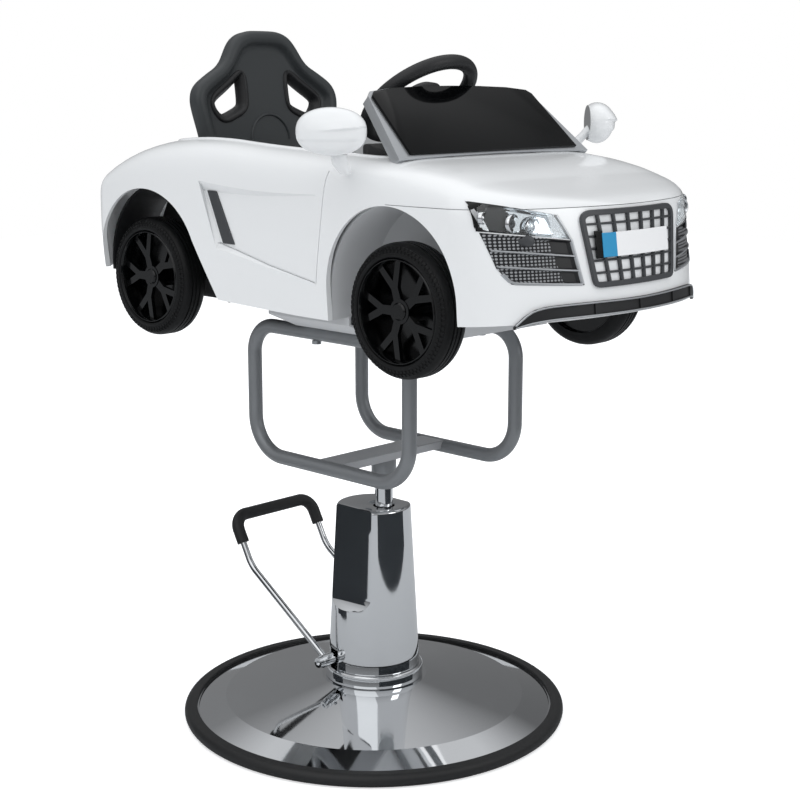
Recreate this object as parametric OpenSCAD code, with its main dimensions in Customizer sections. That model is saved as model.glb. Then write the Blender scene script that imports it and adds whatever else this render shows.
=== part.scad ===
// Children's barber chair: a moulded toy car seat carried by a tube frame
// on a hydraulic pump with a round chromed base. The front of the car faces -Y,
// the car's right side is -X, and the base stands on z = 0.

/* [Base] */
// Outer radius of the base with its rubber ring
base_r = 305; // [270:1:340]
// Width of the rubber ring
ring_w = 20; // [18:1:26]
// Height of the rubber ring
ring_h = 20; // [18:1:22]
// Sheet thickness of the chromed disc
disc_t = 3; // [2:0.5:4]
// Width of the steep band at the disc's edge
band_w = 46; // [30:1:60]
// Height of the band's inner edge
band_z = 31; // [26:1:36]
// Height of the flat crown in the middle of the disc
crown_z = 60; // [54:1:66]
// Radius of the flat crown
crown_r = 84; // [80:1:95]
// Thickness of the steel floor plate inside the base
floor_plate_t = 6; // [4:1:8]

/* [Pump] */
// Distance of the lift rod's axis in front of the base's axis
rod_offset = 23; // [18:1:26]
// Radius of the lift rod
rod_r = 14; // [12:0.5:16]
// Outer radius of the pump's main cylinder
cyl_r = 27; // [25:0.5:29]
// Wall thickness of the main cylinder
cyl_wall = 5; // [4:0.5:7]
// Radius of the ring under the chrome cover
collar_r = 78; // [77:0.5:82]
// Height of the ring under the chrome cover
collar_h = 20; // [16:1:24]
// Radius of the chrome cover at its foot
shroud_low_r = 73; // [72:0.5:75]
// Radius of the chrome cover at its top
shroud_top_r = 58.8; // [56:0.2:62]
// Height of the chrome cover's top above the floor
shroud_top_z = 343; // [330:1:360]
// Wall thickness of the chrome cover
shroud_t = 2; // [1.5:0.5:3]
// Distance of the cover's flat side panels from its axis
panel_x = 50; // [48:1:54]
// Height of the ledge below the side panels
ledge_z = 178; // [160:1:200]

/* [Pedal] */
// Distance of the pedal shaft behind the base's axis
pedal_y = 22; // [20:1:26]
// Height of the pedal shaft
pedal_z = 97; // [95:1:102]
// Radius of the pedal shaft
pedal_shaft_r = 8; // [7:0.5:9]
// Reach of the pedal shaft to each side
pedal_reach = 103; // [98:1:112]
// Half of the distance between the lever's arms
arm_x = 84; // [82:1:90]
// Radius of the lever's bar
lever_r = 5.3; // [4.5:0.1:6]
// Distance of the tread bar behind the shaft
tread_back = 221; // [200:1:240]
// Height of the tread bar above the shaft
tread_up = 192; // [170:1:210]
// Outer radius of the rubber grip
grip_r = 10; // [8:0.5:12]

/* [Frame] */
// Radius of the frame's tube
tube_r = 11; // [10:0.5:12.5]
// Distance of each loop from the middle plane
loop_x = 116.6; // [108:0.2:124]
// Half of a loop's length, measured on the tube's axis
loop_half = 167.4; // [150:0.2:180]
// Height of the axis of the loops' lower bars
loop_low_z = 423; // [410:1:436]
// Height of the axis of the loops' upper bars
loop_top_z = 627.5; // [600:0.5:650]
// Bend radius at the loops' lower corners
bend_low_r = 60; // [45:1:70]
// Bend radius at the loops' upper corners
bend_top_r = 45; // [35:1:60]
// Width of the cross plate along the car
cross_w = 50; // [44:1:60]
// Thickness of the cross plate
cross_t = 12; // [8:1:14]
// Outer radius of the socket over the lift rod
socket_r = 19.5; // [18.5:0.5:23]
// Length of the socket below the cross plate
socket_l = 36; // [30:1:40]

/* [Car body] */
// Length of the car's body
car_l = 930; // [880:1:980]
// Half of the greatest width of the body
car_half_w = 241; // [236:1:250]
// Overhang of the nose in front of the front wheels' axis
front_overhang = 237; // [225:1:250]
// Height of the rocker's lower edge above the loops' upper bars
rocker_rise = 46.5; // [42:0.5:52]
// Height of the body from the rocker to the top of the sill
body_h = 241; // [230:1:252]
// Wall thickness of the moulded body
wall = 5; // [4:0.5:6]
// Depth of the moulded door recess at its rear edge
door_depth = 3.5; // [2:0.5:3.5]
// Lean of the nose from its foot to the bonnet's edge
nose_lean = 20; // [12:1:28]
// Radius of the wheel arches
arch_r = 121; // [116:1:126]

/* [Cockpit] */
// Half width of the cockpit's opening
opening_half_w = 180; // [172:1:186]
// Half width of the footwell
well_half_w = 132; // [124:1:134]
// Wall thickness of the chassis mouldings
chassis_t = 4; // [3:0.5:5]
// Thickness of the seat back's slab
seat_t = 13; // [10:1:18]
// Height of the seat back's border above its slab
bolster = 10; // [8:1:14]
// Lean of the seat back in degrees
seat_lean = 8; // [4:1:12]
// Thickness of the windshield panel
screen_t = 4; // [3:0.5:6]

/* [Wheels and steering] */
// Radius of the tyres
tyre_r = 92; // [88:1:96]
// Width of the tyres
tyre_w = 48; // [42:1:52]
// Radius of the rims where the tyres sit
rim_r = 72; // [68:1:75]
// Distance of the wheels' outer faces from the middle plane
wheel_face_x = 220; // [216:1:226]
// Distance of the front wheels' axis in front of the base's axis
front_axle_y = 263; // [255:1:270]
// Distance of the rear wheels' axis behind the base's axis
rear_axle_y = 277; // [270:1:285]
// Height of the wheels' axes above the rocker's lower edge
axle_rise = 23; // [20:1:26]
// Radius of the axles
axle_r = 6; // [5:0.5:7]
// Radius of the steering column
column_r = 6; // [5:0.5:7]
// Outer radius of the steering wheel
steer_r = 95; // [88:1:100]
// Radius of the steering wheel's rim section
steer_rim_r = 10.5; // [9:0.5:12]
// Tilt of the steering column from upright in degrees
steer_tilt = 39; // [36:1:42]
// Length of the steering crank
crank_l = 30; // [26:1:32]

/* [Hidden] */
$fn = 64;

// Clearance between pieces that are assembled and stay put
fit_gap = 0.3;
// Clearance between a turning or sliding pin and its hole
run_gap = 0.06;
// Overrun of a cut past the face that it opens
over = 1;
// Clearance of a bolt in its hole
bolt_gap = 0.4;

// Derived places of the pump
rod_y = -rod_offset;
flange_t = 13.7;
flange_z = crown_z + fit_gap;
flange_top = flange_z + flange_t;
collar_top = flange_z + collar_h;
bore_r = cyl_r - cyl_wall;
cyl_drop = 24;
cyl_top = shroud_top_z - cyl_drop;
gland_flange_t = 5;
piston_h = 16;
piston_lift = 8;
piston_z = flange_top + piston_lift;
rod_low = piston_z + piston_h + fit_gap;

// Derived places of the frame
loop_mid_y = rod_y;
loop_front_y = loop_mid_y - loop_half;
loop_rear_y = loop_mid_y + loop_half;
cross_drop = 1;
socket_top = loop_low_z + tube_r - cross_t - cross_drop;
socket_low = socket_top - socket_l;
rod_cover = 3;
rod_top = socket_top - rod_cover;
tray_z = loop_top_z + tube_r + fit_gap;

// Derived places of the car
nose_y = -(front_axle_y + front_overhang);
tail_y = nose_y + car_l;
rocker_z = loop_top_z + rocker_rise;
sill_z = rocker_z + body_h;
axle_z = rocker_z + axle_rise;

// Finds the stretch of a table of pairs that holds x
function stretch(t, x, i = 0) = (i >= len(t) - 2 || x < t[i + 1][0]) ? i : stretch(t, x, i + 1);
// Slope of a table at one of its points
function slope(t, i) = let(a = max(i - 1, 0), b = min(i + 1, len(t) - 1))
  (t[b][1] - t[a][1]) / (t[b][0] - t[a][0]);
// Smooth curve through a table of pairs
function smooth(t, x) =
  let(i = stretch(t, x), h = t[i + 1][0] - t[i][0], u = (x - t[i][0]) / h)
  (2 * pow(u, 3) - 3 * pow(u, 2) + 1) * t[i][1] + (pow(u, 3) - 2 * pow(u, 2) + u) * h * slope(t, i)
  + (3 * pow(u, 2) - 2 * pow(u, 3)) * t[i + 1][1] + (pow(u, 3) - pow(u, 2)) * h * slope(t, i + 1);
function clamp(x, a, b) = min(max(x, a), b);

// Where the plan's straight part starts and ends, as shares of the length
nose_share = 0.128;
tail_share = 0.925;
// Half width along the car, as shares of the greatest half width
width_shares = [[0.128, 0.988], [0.215, 1], [0.290, 0.996], [0.409, 0.967], [0.538, 0.950],
  [0.645, 0.959], [0.731, 0.983], [0.835, 1], [0.925, 0.988]];
// Top line along the car, as shares of the body's height
top_shares = [[0, 0.690], [0.0215, 0.728], [0.0645, 0.772], [0.1075, 0.813], [0.154, 0.856],
  [0.215, 0.893], [0.28, 0.921], [0.387, 0.944], [0.538, 0.971], [0.667, 1], [0.753, 0.992],
  [0.823, 0.955], [0.892, 0.868], [0.946, 0.745], [0.984, 0.590], [1, 0.440]];
// Lower edge along the car, as shares of the body's height
foot_shares = [[0, 0.108], [0.098, 0.083], [0.215, 0.05], [0.382, 0], [0.639, 0.02],
  [0.753, 0.066], [0.933, 0.129], [1, 0.158]];
// Height of the widest line, as a share of the body's height
belt_share = 0.46;
// How far the sides draw in at the foot
foot_tuck = 5;
// Fullness of the section's upper corner
corner_power = 7;
// Steps round a section, as shares of a quarter turn and of the side below the belt
turn_shares = [0, 0.03, 0.12, 0.26, 0.4, 0.52, 0.64, 0.78, 0.92, 1];
side_shares = [0.35, 0.7, 1];

function half_w(s) = car_half_w * smooth(width_shares, clamp(s, nose_share, tail_share))
  * sqrt(1 - pow(clamp((nose_share - s) / nose_share, 0, 1), 2))
  * sqrt(1 - pow(clamp((s - tail_share) / (1 - tail_share), 0, 1), 2));
function top_z(s) = rocker_z + body_h * smooth(top_shares, s);
function foot_z(s) = rocker_z + body_h * smooth(foot_shares, s);
lean_from_share = 0.215;
lean_full_share = 0.108;
lean_h_share = 0.622;
lean_z = rocker_z + foot_shares[0][1] * body_h;
lean_h = lean_h_share * body_h;
function lean_weight(s) = clamp((lean_from_share - s) / (lean_from_share - lean_full_share), 0, 1);
function lean(s, z) = nose_lean * lean_weight(s) * (z - lean_z) / lean_h;

// Half a section of the body, from the foot up to the middle of the top.
// in is how far the surface lies inside the outer one, drop lengthens the sides.
function half_section(s, in, drop) =
  let(w = half_w(s) - in, zt = top_z(s) - in, zf = foot_z(s) + in, zb = rocker_z + belt_share * body_h,
      k = 2 / corner_power)
  concat(
    drop > 0 ? [[w - foot_tuck, zf - drop]] : [],
    [for (i = [len(side_shares) - 1:-1:0]) let(q = side_shares[i])
      [w - foot_tuck * pow(q, 2), zb + (zf - zb) * q]],
    [for (i = [len(turn_shares) - 1:-1:0]) let(a = 90 * turn_shares[i])
      [w * pow(sin(a), k), zb + (zt - zb) * pow(cos(a), k)]]);
function section(s, in, drop) =
  let(h = half_section(s, in, drop), n = len(h), m = 0.5 * car_l,
      y = nose_y + m + (s * car_l - m) * (m - in) / m)
  concat(
    [for (p = h) [-p[0], y + lean(s, p[1]), p[1]]],
    [for (i = [n - 2:-1:0]) [h[i][0], y + lean(s, h[i][1]), h[i][1]]]);

nose_turns = [6, 16, 27, 39, 52, 66, 80];
tail_turns = [78, 62, 46, 32, 20, 9];
mid_steps = 11;
stations = concat(
  [for (a = nose_turns) nose_share * (1 - cos(a))],
  [for (i = [0:mid_steps]) nose_share + (tail_share - nose_share) * i / mid_steps],
  [for (a = tail_turns) tail_share + (1 - tail_share) * cos(a)]);

// Solid skinned over rings of points, with flat ends. A curved band of a ring
// has its ends made of strips from its outer to its inner side.
function end_faces(n, band) = band ? [for (i = [0:ceil(n / 2) - 2])
    i + 1 == n - 2 - i ? [i, i + 1, n - 1 - i] : [i, i + 1, n - 2 - i, n - 1 - i]]
  : [[for (j = [0:n - 1]) j]];
module skin(rings, band = false) {
  n = len(rings[0]);
  m = len(rings);
  ends = end_faces(n, band);
  polyhedron(
    points = [for (r = rings) each r],
    faces = concat(
      ends,
      [for (i = [0:m - 2], j = [0:n - 1]) let(k = (j + 1) % n)
        each [[i * n + j, (i + 1) * n + j, i * n + k], [i * n + k, (i + 1) * n + j, (i + 1) * n + k]]],
      [for (f = ends) [for (j = [len(f) - 1:-1:0]) (m - 1) * n + f[j]]]));
}

// The body's solid, or the stretch of it between two shares of its length
module body_solid(in = 0, drop = 0, from = 0, to = 1) {
  skin([for (s = stations) if (s >= from && s <= to) section(s, in, drop)], true);
}

// Rounded rectangle from two corners
module rounded(x0, y0, x1, y1, r) {
  union() {
    translate([x0 + r, y0]) square([x1 - x0 - 2 * r, y1 - y0]);
    translate([x0, y0 + r]) square([x1 - x0, y1 - y0 - 2 * r]);
    for (x = [x0 + r, x1 - r], y = [y0 + r, y1 - r]) translate([x, y]) circle(r = r);
  }
}

// Extrudes an outline drawn in y and z along x from x0 to x1
module along_x(x0, x1) {
  translate([x0, 0, 0]) rotate([90, 0, 90]) linear_extrude(x1 - x0) children();
}
// Extrudes an outline drawn in x and z along y from y0 to y1
module along_y(y0, y1) {
  translate([0, y1, 0]) rotate([90, 0, 0]) linear_extrude(y1 - y0) children();
}
module on_side(side) {
  if (side > 0) mirror([1, 0, 0]) children();
  else children();
}

module up(z) {
  translate([0, 0, z]) children();
}
module on_both_sides() {
  for (m = [0, 1]) mirror([m, 0, 0]) children();
}

// Base
disc_lip = 4;
disc_lip_z = 13;
disc_hole_r = 30;
disc_edge_r = base_r - ring_w + disc_lip;
base_bolt_r = 5;
base_bolt_ring_r = 57;
base_bolt_count = 4;
base_bolt_turn = 45;
bolt_head_h = 7;
bolt_head_r = 8.5;
boss_wall = 18;

module base_bolt_places() {
  for (i = [0:base_bolt_count - 1]) rotate(base_bolt_turn + i * 360 / base_bolt_count)
    translate([base_bolt_ring_r, 0, 0]) children();
}

module disc_profile() {
  inner = base_r - ring_w;
  polygon([
    [disc_edge_r, disc_lip_z], [disc_edge_r, disc_lip_z + disc_t],
    [inner - disc_t, disc_lip_z + disc_t], [inner - band_w, band_z],
    [crown_r, crown_z], [disc_hole_r, crown_z], [disc_hole_r, crown_z - disc_t],
    [crown_r - disc_t, crown_z - disc_t], [inner - band_w, band_z - disc_t],
    [inner - disc_t, disc_lip_z]]);
}

module base_disc() {
  color("silver") difference() {
    rotate_extrude() disc_profile();
    base_bolt_places() up(crown_z - disc_t - over)
      cylinder(r = base_bolt_r + bolt_gap, h = disc_t + 2 * over);
  }
}

module base_ring() {
  round_r = ring_h / 2;
  color("#1c1c1e") rotate_extrude() difference() {
    union() {
      translate([base_r - round_r, round_r]) circle(r = round_r);
      translate([base_r - ring_w, 0]) square([ring_w - round_r, ring_h]);
    }
    translate([base_r - ring_w - over, disc_lip_z - fit_gap])
      square([disc_lip + over + fit_gap, disc_t + 2 * fit_gap]);
  }
}

plate_z = 0;
plate_r = base_r - ring_w - fit_gap;

module base_plate() {
  boss_top = crown_z - disc_t - fit_gap;
  color("#3b3d40") difference() {
    union() {
      up(plate_z) cylinder(r = plate_r, h = floor_plate_t);
      cylinder_ring(base_bolt_ring_r + boss_wall / 2 + base_bolt_r,
        base_bolt_ring_r - boss_wall / 2 - base_bolt_r, plate_z, boss_top);
    }
    base_bolt_places() up(plate_z + floor_plate_t)
      cylinder(r = base_bolt_r + bolt_gap, h = boss_top);
  }
}

// Ring with a square section between two heights
module cylinder_ring(r_out, r_in, z0, z1) {
  up(z0) difference() {
    cylinder(r = r_out, h = z1 - z0);
    up(-over) cylinder(r = r_in, h = z1 - z0 + 2 * over);
  }
}

module base_bolts() {
  shank_low = plate_z + floor_plate_t + 4 * fit_gap;
  color("#8d9094") base_bolt_places() {
    up(shank_low) cylinder(r = base_bolt_r, h = flange_top - shank_low + fit_gap);
    up(flange_top + fit_gap) cylinder(r = bolt_head_r, h = bolt_head_h, $fn = 6);
  }
}

// Pump
shaft_slot_w = 24;
shaft_slot_h = 14;
ledge_r = 26;
panel_tilt = 3;
shroud_round = 5;
rod_hole_gap = 3;

module shroud_ring() {
  rim = 1.5;
  color("silver") rotate_extrude() difference() {
    translate([shroud_low_r - shroud_t - rim, flange_z])
      square([collar_r - shroud_low_r + shroud_t + rim, collar_h]);
    translate([collar_r, collar_top]) rotate(45) square([2 * rim, 2 * rim], center = true);
  }
}

module shroud_outer(in) {
  top = shroud_top_z - in;
  low = collar_top + fit_gap;
  r1 = shroud_low_r - in;
  r2 = shroud_top_r - in;
  rotate_extrude() union() {
    polygon([[0, in > 0 ? low - over : low], [r1, in > 0 ? low - over : low],
      [r2, top - shroud_round], [0, top - shroud_round]]);
    translate([0, top - 2 * shroud_round]) square([r2 - shroud_round, 2 * shroud_round]);
    translate([r2 - shroud_round, top - shroud_round]) circle(r = shroud_round);
  }
}

// The block that leaves a flat side panel with a curved ledge at its foot
module panel_cut(in) {
  reach = shroud_low_r;
  for (m = [0, 1]) mirror([m, 0, 0])
    translate([-panel_x + in, 0, ledge_z + ledge_r]) rotate([0, panel_tilt, 0]) union() {
      translate([-reach, -reach, 0]) cube([reach, 2 * reach, shroud_top_z]);
      intersection() {
        translate([-ledge_r, 0, 0]) rotate([90, 0, 0])
          cylinder(r = ledge_r, h = 2 * reach, center = true);
        translate([-2 * reach, -reach, -2 * ledge_r]) cube([2 * reach, 2 * reach, 2 * ledge_r + over]);
      }
    }
}

module pump_shroud() {
  color("silver") difference() {
    difference() {
      shroud_outer(0);
      panel_cut(0);
    }
    difference() {
      shroud_outer(shroud_t);
      panel_cut(shroud_t);
    }
    translate([0, rod_y, shroud_top_z - 2 * shroud_round])
      cylinder(r = rod_r + rod_hole_gap, h = 3 * shroud_round);
    translate([-shroud_low_r - over, pedal_y - shaft_slot_w / 2, collar_top - over])
      cube([2 * shroud_low_r + 2 * over, shaft_slot_w, pedal_z + shaft_slot_h - collar_top + over]);
  }
}

// The pump arm on the pedal shaft pushes the plunger down
pump_arm = 14;
plunger_r = 5;
plunger_head_r = 7;
plunger_head_h = 4;
arm_half_t = 5;
plunger_y = pedal_y + pump_arm;
plunger_top = pedal_z - arm_half_t - fit_gap;
pedal_swing = 25;
// Travel of the plunger for each radian of the pedal's swing
pump_ratio = 15.5;
plunger_travel = pump_ratio * pedal_swing * PI / 180;
bore_floor = 2;
plunger_low = flange_z + bore_floor + plunger_travel + 2 * fit_gap;

module pump_body() {
  side_gap = 2;
  guide_t = 3;
  bearing_w = 9;
  bearing_x = 44;
  bearing_half = pedal_shaft_r + arm_half_t;
  color("#55585c") difference() {
    union() {
      up(flange_z) cylinder(r = shroud_low_r - shroud_t - side_gap, h = flange_t);
      translate([0, rod_y, flange_top - over]) cylinder(r = cyl_r, h = cyl_top - flange_top + over);
      translate([0, plunger_y, flange_top - over]) cylinder(r = plunger_head_r + guide_t, h = over + guide_t);
      for (x = [-bearing_x, bearing_x])
        translate([x - bearing_w / 2, pedal_y - bearing_half, flange_top - over])
          cube([bearing_w, 2 * bearing_half, pedal_z + bearing_half - flange_top + over]);
    }
    translate([0, rod_y, piston_z]) cylinder(r = bore_r, h = cyl_top);
    translate([0, plunger_y, flange_z + bore_floor])
      cylinder(r = plunger_r + run_gap, h = flange_t + guide_t + over);
    translate([0, pedal_y, pedal_z]) rotate([0, 90, 0])
      cylinder(r = pedal_shaft_r + run_gap, h = 4 * bearing_x, center = true);
    base_bolt_places() up(flange_z - over)
      cylinder(r = base_bolt_r + bolt_gap, h = flange_t + 2 * over);
    base_bolt_places() up(flange_top)
      cylinder(r = bolt_head_r + 2 * bolt_gap, h = 3 * bolt_head_h);
  }
}

module rod_gland() {
  skirt = 14;
  color("#b08d3c") translate([0, rod_y, 0]) difference() {
    union() {
      up(cyl_top - skirt) cylinder(r = bore_r - run_gap, h = skirt + gland_flange_t);
      up(cyl_top + fit_gap / 3) cylinder(r = cyl_r, h = gland_flange_t);
    }
    up(cyl_top - skirt - over)
      cylinder(r = rod_r + run_gap, h = skirt + gland_flange_t + 3 * over);
  }
}

module piston() {
  groove = 3;
  color("#6f7277") translate([0, rod_y, piston_z + fit_gap]) difference() {
    cylinder(r = bore_r - run_gap, h = piston_h - fit_gap);
    up(piston_h / 2 - groove / 2)
      cylinder_ring(bore_r + over, bore_r - groove / 2, 0, groove);
  }
}

module piston_rod() {
  chamfer = 1.5;
  color("silver") translate([0, rod_y, 0]) rotate_extrude() polygon([
    [0, rod_low], [rod_r - chamfer, rod_low], [rod_r, rod_low + chamfer],
    [rod_r, rod_top - chamfer], [rod_r - chamfer, rod_top], [0, rod_top]]);
}

module pump_plunger() {
  color("#9a9da2") translate([0, plunger_y, 0]) union() {
    up(plunger_low) cylinder(r = plunger_r, h = plunger_top - plunger_low);
    up(plunger_top - plunger_head_h) cylinder(r = plunger_head_r, h = plunger_head_h);
  }
}

// Pedal
collar_w = 12;
arm_boss_wall = 2;
arm_boss_r = pedal_shaft_r + arm_boss_wall;
arm_boss_side = 5;
screw_r = 2.5;
screw_h = 4;
spring_wire_r = 1.2;
spring_turns = 5;
spring_x = 16;

module pedal_shaft() {
  socket_bore = lever_r + fit_gap / 3;
  centre_depth = 3;
  color("silver") difference() {
    union() {
      translate([0, pedal_y, pedal_z]) rotate([0, 90, 0])
        cylinder(r = pedal_shaft_r, h = 2 * pedal_reach, center = true);
      translate([-collar_w / 2, pedal_y, pedal_z - arm_half_t])
        cube([collar_w, pump_arm + collar_w / 4, 2 * arm_half_t]);
      for (x = [-arm_x, arm_x]) translate([x, pedal_y, pedal_z]) rotate([0, 90, 0])
        cylinder(r = arm_boss_r, h = 2 * lever_r + 2 * arm_boss_side, center = true);
    }
    for (x = [-pedal_reach, pedal_reach]) translate([x, pedal_y, pedal_z]) rotate([0, 90, 0])
      cylinder(r = pedal_shaft_r / 2, h = 2 * centre_depth, center = true);
    for (x = [-arm_x, arm_x]) translate([x, pedal_y, pedal_z]) rotate([low_rise - 90, 0, 0])
      up(lever_start - fit_gap) cylinder(r = socket_bore, h = 3 * pedal_shaft_r);
  }
}

// The lever leaves the shaft, bends up and turns across under the grip
low_rise = 33;
high_rise = 61;
lever_bend_r = 60;
corner_r = 24;
tread_z = pedal_z + tread_up;
tread_y = pedal_y + tread_back;
// Where the two straight stretches of an arm would meet
meet_y = (tread_up - tread_back * tan(high_rise)) / (tan(low_rise) - tan(high_rise));
meet = [pedal_y + meet_y, pedal_z + meet_y * tan(low_rise)];
bend_back = lever_bend_r * tan((high_rise - low_rise) / 2);
low_len = norm([meet_y, meet_y * tan(low_rise)]) - bend_back;
high_len = norm([tread_y - meet[0], tread_z - meet[1]]) - bend_back;
lever_start = pedal_shaft_r / 2;
grip_arm_l = 46;

// A formed bend is a little thicker than the bar, whose ends reach into it
bend_grow = 0.1;
bend_lap = 1;

// The tread bar, its two corners and the upper stretch of both arms
module tread(r, arm_l) {
  half = arm_x - corner_r + bend_lap;
  translate([0, tread_y, tread_z]) rotate([high_rise, 0, 0]) {
    translate([-half, 0, 0]) rotate([0, 90, 0]) cylinder(r = r, h = 2 * half);
    for (m = [0, 1]) mirror([m, 0, 0]) {
      translate([-arm_x + corner_r, -corner_r, 0]) rotate(90) rotate_extrude(angle = 90)
        translate([corner_r, 0]) circle(r = r + bend_grow);
      translate([-arm_x, bend_lap - corner_r, 0]) rotate([90, 0, 0])
        cylinder(r = r, h = arm_l + bend_lap);
    }
  }
}

module pedal_lever() {
  color("silver") {
    tread(lever_r, high_len - corner_r + bend_lap);
    for (x = [-arm_x, arm_x]) {
      translate([x, pedal_y, pedal_z]) rotate([low_rise, 0, 0]) translate([0, low_len + bend_lap, 0])
        rotate([90, 0, 0]) cylinder(r = lever_r, h = low_len + bend_lap - lever_start);
      translate([x, pedal_y, pedal_z]) rotate([low_rise, 0, 0]) translate([0, low_len, lever_bend_r])
        rotate([90, 0, 90]) rotate(-90) rotate_extrude(angle = high_rise - low_rise)
          translate([lever_bend_r, 0]) circle(r = lever_r + bend_grow);
    }
  }
}

module pedal_grip() {
  color("#232325") difference() {
    tread(grip_r, grip_arm_l - corner_r);
    tread(lever_r + run_gap, grip_arm_l);
  }
}

module pedal_screws() {
  color("#9b9ea3") for (x = [-arm_x, arm_x]) translate([x, pedal_y, pedal_z]) rotate([45, 0, 0])
    up(arm_boss_r + fit_gap / 3) cylinder(r = screw_r, h = screw_h);
}

module pedal_spring() {
  turn_gap = 0.6;
  shaft_gap = 1;
  pitch = 2 * spring_wire_r + turn_gap;
  rings = 10;
  coil_r = pedal_shaft_r + spring_wire_r + shaft_gap;
  steps = spring_turns * rings;
  sides = 6;
  color("#84878b") translate([spring_x, pedal_y, pedal_z]) skin([for (i = [0:steps])
    let(a = 360 * i / rings)
    [for (j = [0:sides - 1]) let(b = -360 * j / sides, r = coil_r + spring_wire_r * cos(b))
      [pitch * i / rings + spring_wire_r * sin(b), r * cos(a), r * sin(a)]]]);
}

// Frame
module frame_socket() {
  wall_t = socket_r - rod_r;
  color("#8a8c8e") translate([0, rod_y, 0]) difference() {
    up(socket_low) cylinder(r = socket_r, h = socket_top - socket_low);
    up(socket_low - over)
      cylinder(r = rod_r + run_gap, h = rod_top - socket_low + over + fit_gap);
    up(rod_top) cylinder(r = rod_r - wall_t / 2, h = socket_top - rod_top + over);
  }
}

module cross_plate() {
  color("#85878a") difference() {
    translate([-loop_x, rod_y - cross_w / 2, socket_top + fit_gap / 3])
      cube([2 * loop_x, cross_w, cross_t]);
    for (x = [-loop_x, loop_x]) translate([x, rod_y, loop_low_z]) rotate([90, 0, 0])
      cylinder(r = tube_r + fit_gap / 3, h = cross_w + 2 * over, center = true);
  }
}

module loop_corner(y, z, r, a) {
  translate([0, y, z]) rotate([90, 0, 90]) rotate(a) rotate_extrude(angle = 90)
    translate([r, 0]) circle(r = tube_r);
}

module frame_loop(x) {
  bolt_hole_r = frame_bolt_r + bolt_gap;
  color("#85878a") translate([x, 0, 0]) difference() {
    union() {
      translate([0, loop_front_y + bend_low_r, loop_low_z]) rotate([-90, 0, 0])
        cylinder(r = tube_r, h = 2 * loop_half - 2 * bend_low_r);
      translate([0, loop_front_y + bend_top_r, loop_top_z]) rotate([-90, 0, 0])
        cylinder(r = tube_r, h = 2 * loop_half - 2 * bend_top_r);
      for (y = [loop_front_y, loop_rear_y]) translate([0, y, loop_low_z + bend_low_r])
        cylinder(r = tube_r, h = loop_top_z - loop_low_z - bend_low_r - bend_top_r);
      loop_corner(loop_rear_y - bend_low_r, loop_low_z + bend_low_r, bend_low_r, -90);
      loop_corner(loop_front_y + bend_low_r, loop_low_z + bend_low_r, bend_low_r, 180);
      loop_corner(loop_rear_y - bend_top_r, loop_top_z - bend_top_r, bend_top_r, 0);
      loop_corner(loop_front_y + bend_top_r, loop_top_z - bend_top_r, bend_top_r, 90);
    }
    for (y = frame_bolt_ys) translate([0, y, loop_top_z - 2 * tube_r])
      cylinder(r = bolt_hole_r, h = 4 * tube_r);
  }
}

frame_bolt_r = 4;
frame_bolt_head_r = 7;
frame_bolt_head_h = 5;
frame_bolt_shares = [-0.58, 0.15];
frame_bolt_ys = [for (q = frame_bolt_shares) loop_mid_y + q * loop_half];

module frame_bolts() {
  nut_z = tray_z + chassis_t + fit_gap;
  low = loop_top_z - tube_r - fit_gap;
  color("#9b9ea3") for (x = [-loop_x, loop_x], y = frame_bolt_ys) translate([x, y, 0]) {
    up(low) cylinder(r = frame_bolt_r, h = nut_z - low + frame_bolt_head_h);
    up(low - frame_bolt_head_h) cylinder(r = frame_bolt_head_r, h = frame_bolt_head_h);
    up(nut_z) cylinder(r = frame_bolt_head_r, h = frame_bolt_head_h, $fn = 6);
  }
}

// Car body
arch_rise_share = 0.165;
arch_leg_share = 1.33;
arch_bend_shares = [0.86, 0.38];
front_arch_lead = 2;
rear_arch_lead = 22;
rear_arch_less = 2;
arch_z = axle_z + arch_rise_share * arch_r;
front_arch_y = -(front_axle_y + front_arch_lead);
rear_arch_y = rear_axle_y - rear_arch_lead;
rear_arch_r = arch_r - rear_arch_less;
arch_leg_y = rear_arch_y - arch_leg_share * arch_r;
opening_front_in = 33;
opening_rear_in = 15;
opening_front_y = -(front_axle_y - opening_front_in);
opening_rear_y = rear_axle_y - opening_rear_in;
opening_r = 45;
rim_from = 0.27;
rim_to = 0.86;
rim_depth = 52;
rim_low_share = 0.055;
rim_in = 1;
rim_low_z = sill_z - rim_depth - rim_low_share * body_h;

// Wheel arch outlines in y and z
module front_arch(grow) {
  union() {
    translate([front_arch_y, arch_z]) circle(r = arch_r + grow);
    translate([front_arch_y - arch_r - grow, rocker_z - tyre_r])
      square([2 * arch_r + 2 * grow, arch_z - rocker_z + tyre_r]);
  }
}
module rear_arch(grow) {
  union() {
    translate([rear_arch_y, arch_z]) circle(r = rear_arch_r + grow);
    polygon([[rear_arch_y + rear_arch_r + grow, arch_z],
      [rear_arch_y + rear_arch_r + grow, rocker_z - tyre_r],
      [arch_leg_y - grow, rocker_z - tyre_r], [arch_leg_y - grow, rocker_z],
      [rear_arch_y - arch_bend_shares[0] * arch_r - grow, arch_z + arch_bend_shares[1] * arch_r]]);
  }
}

// The bumper is the part of the shell in front of the wheels and below this height
seam_share = 0.69;
bumper_to = 0.4;
seam_z = rocker_z + seam_share * body_h;
seam_gap = 0.6;
module bumper_region(gap) {
  wide = car_half_w + 2 * over;
  translate([-wide, nose_y - 2 * over, rocker_z - body_h])
    cube([2 * wide, front_arch_y - nose_y + 2 * over, seam_z - gap - rocker_z + body_h]);
}

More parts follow.
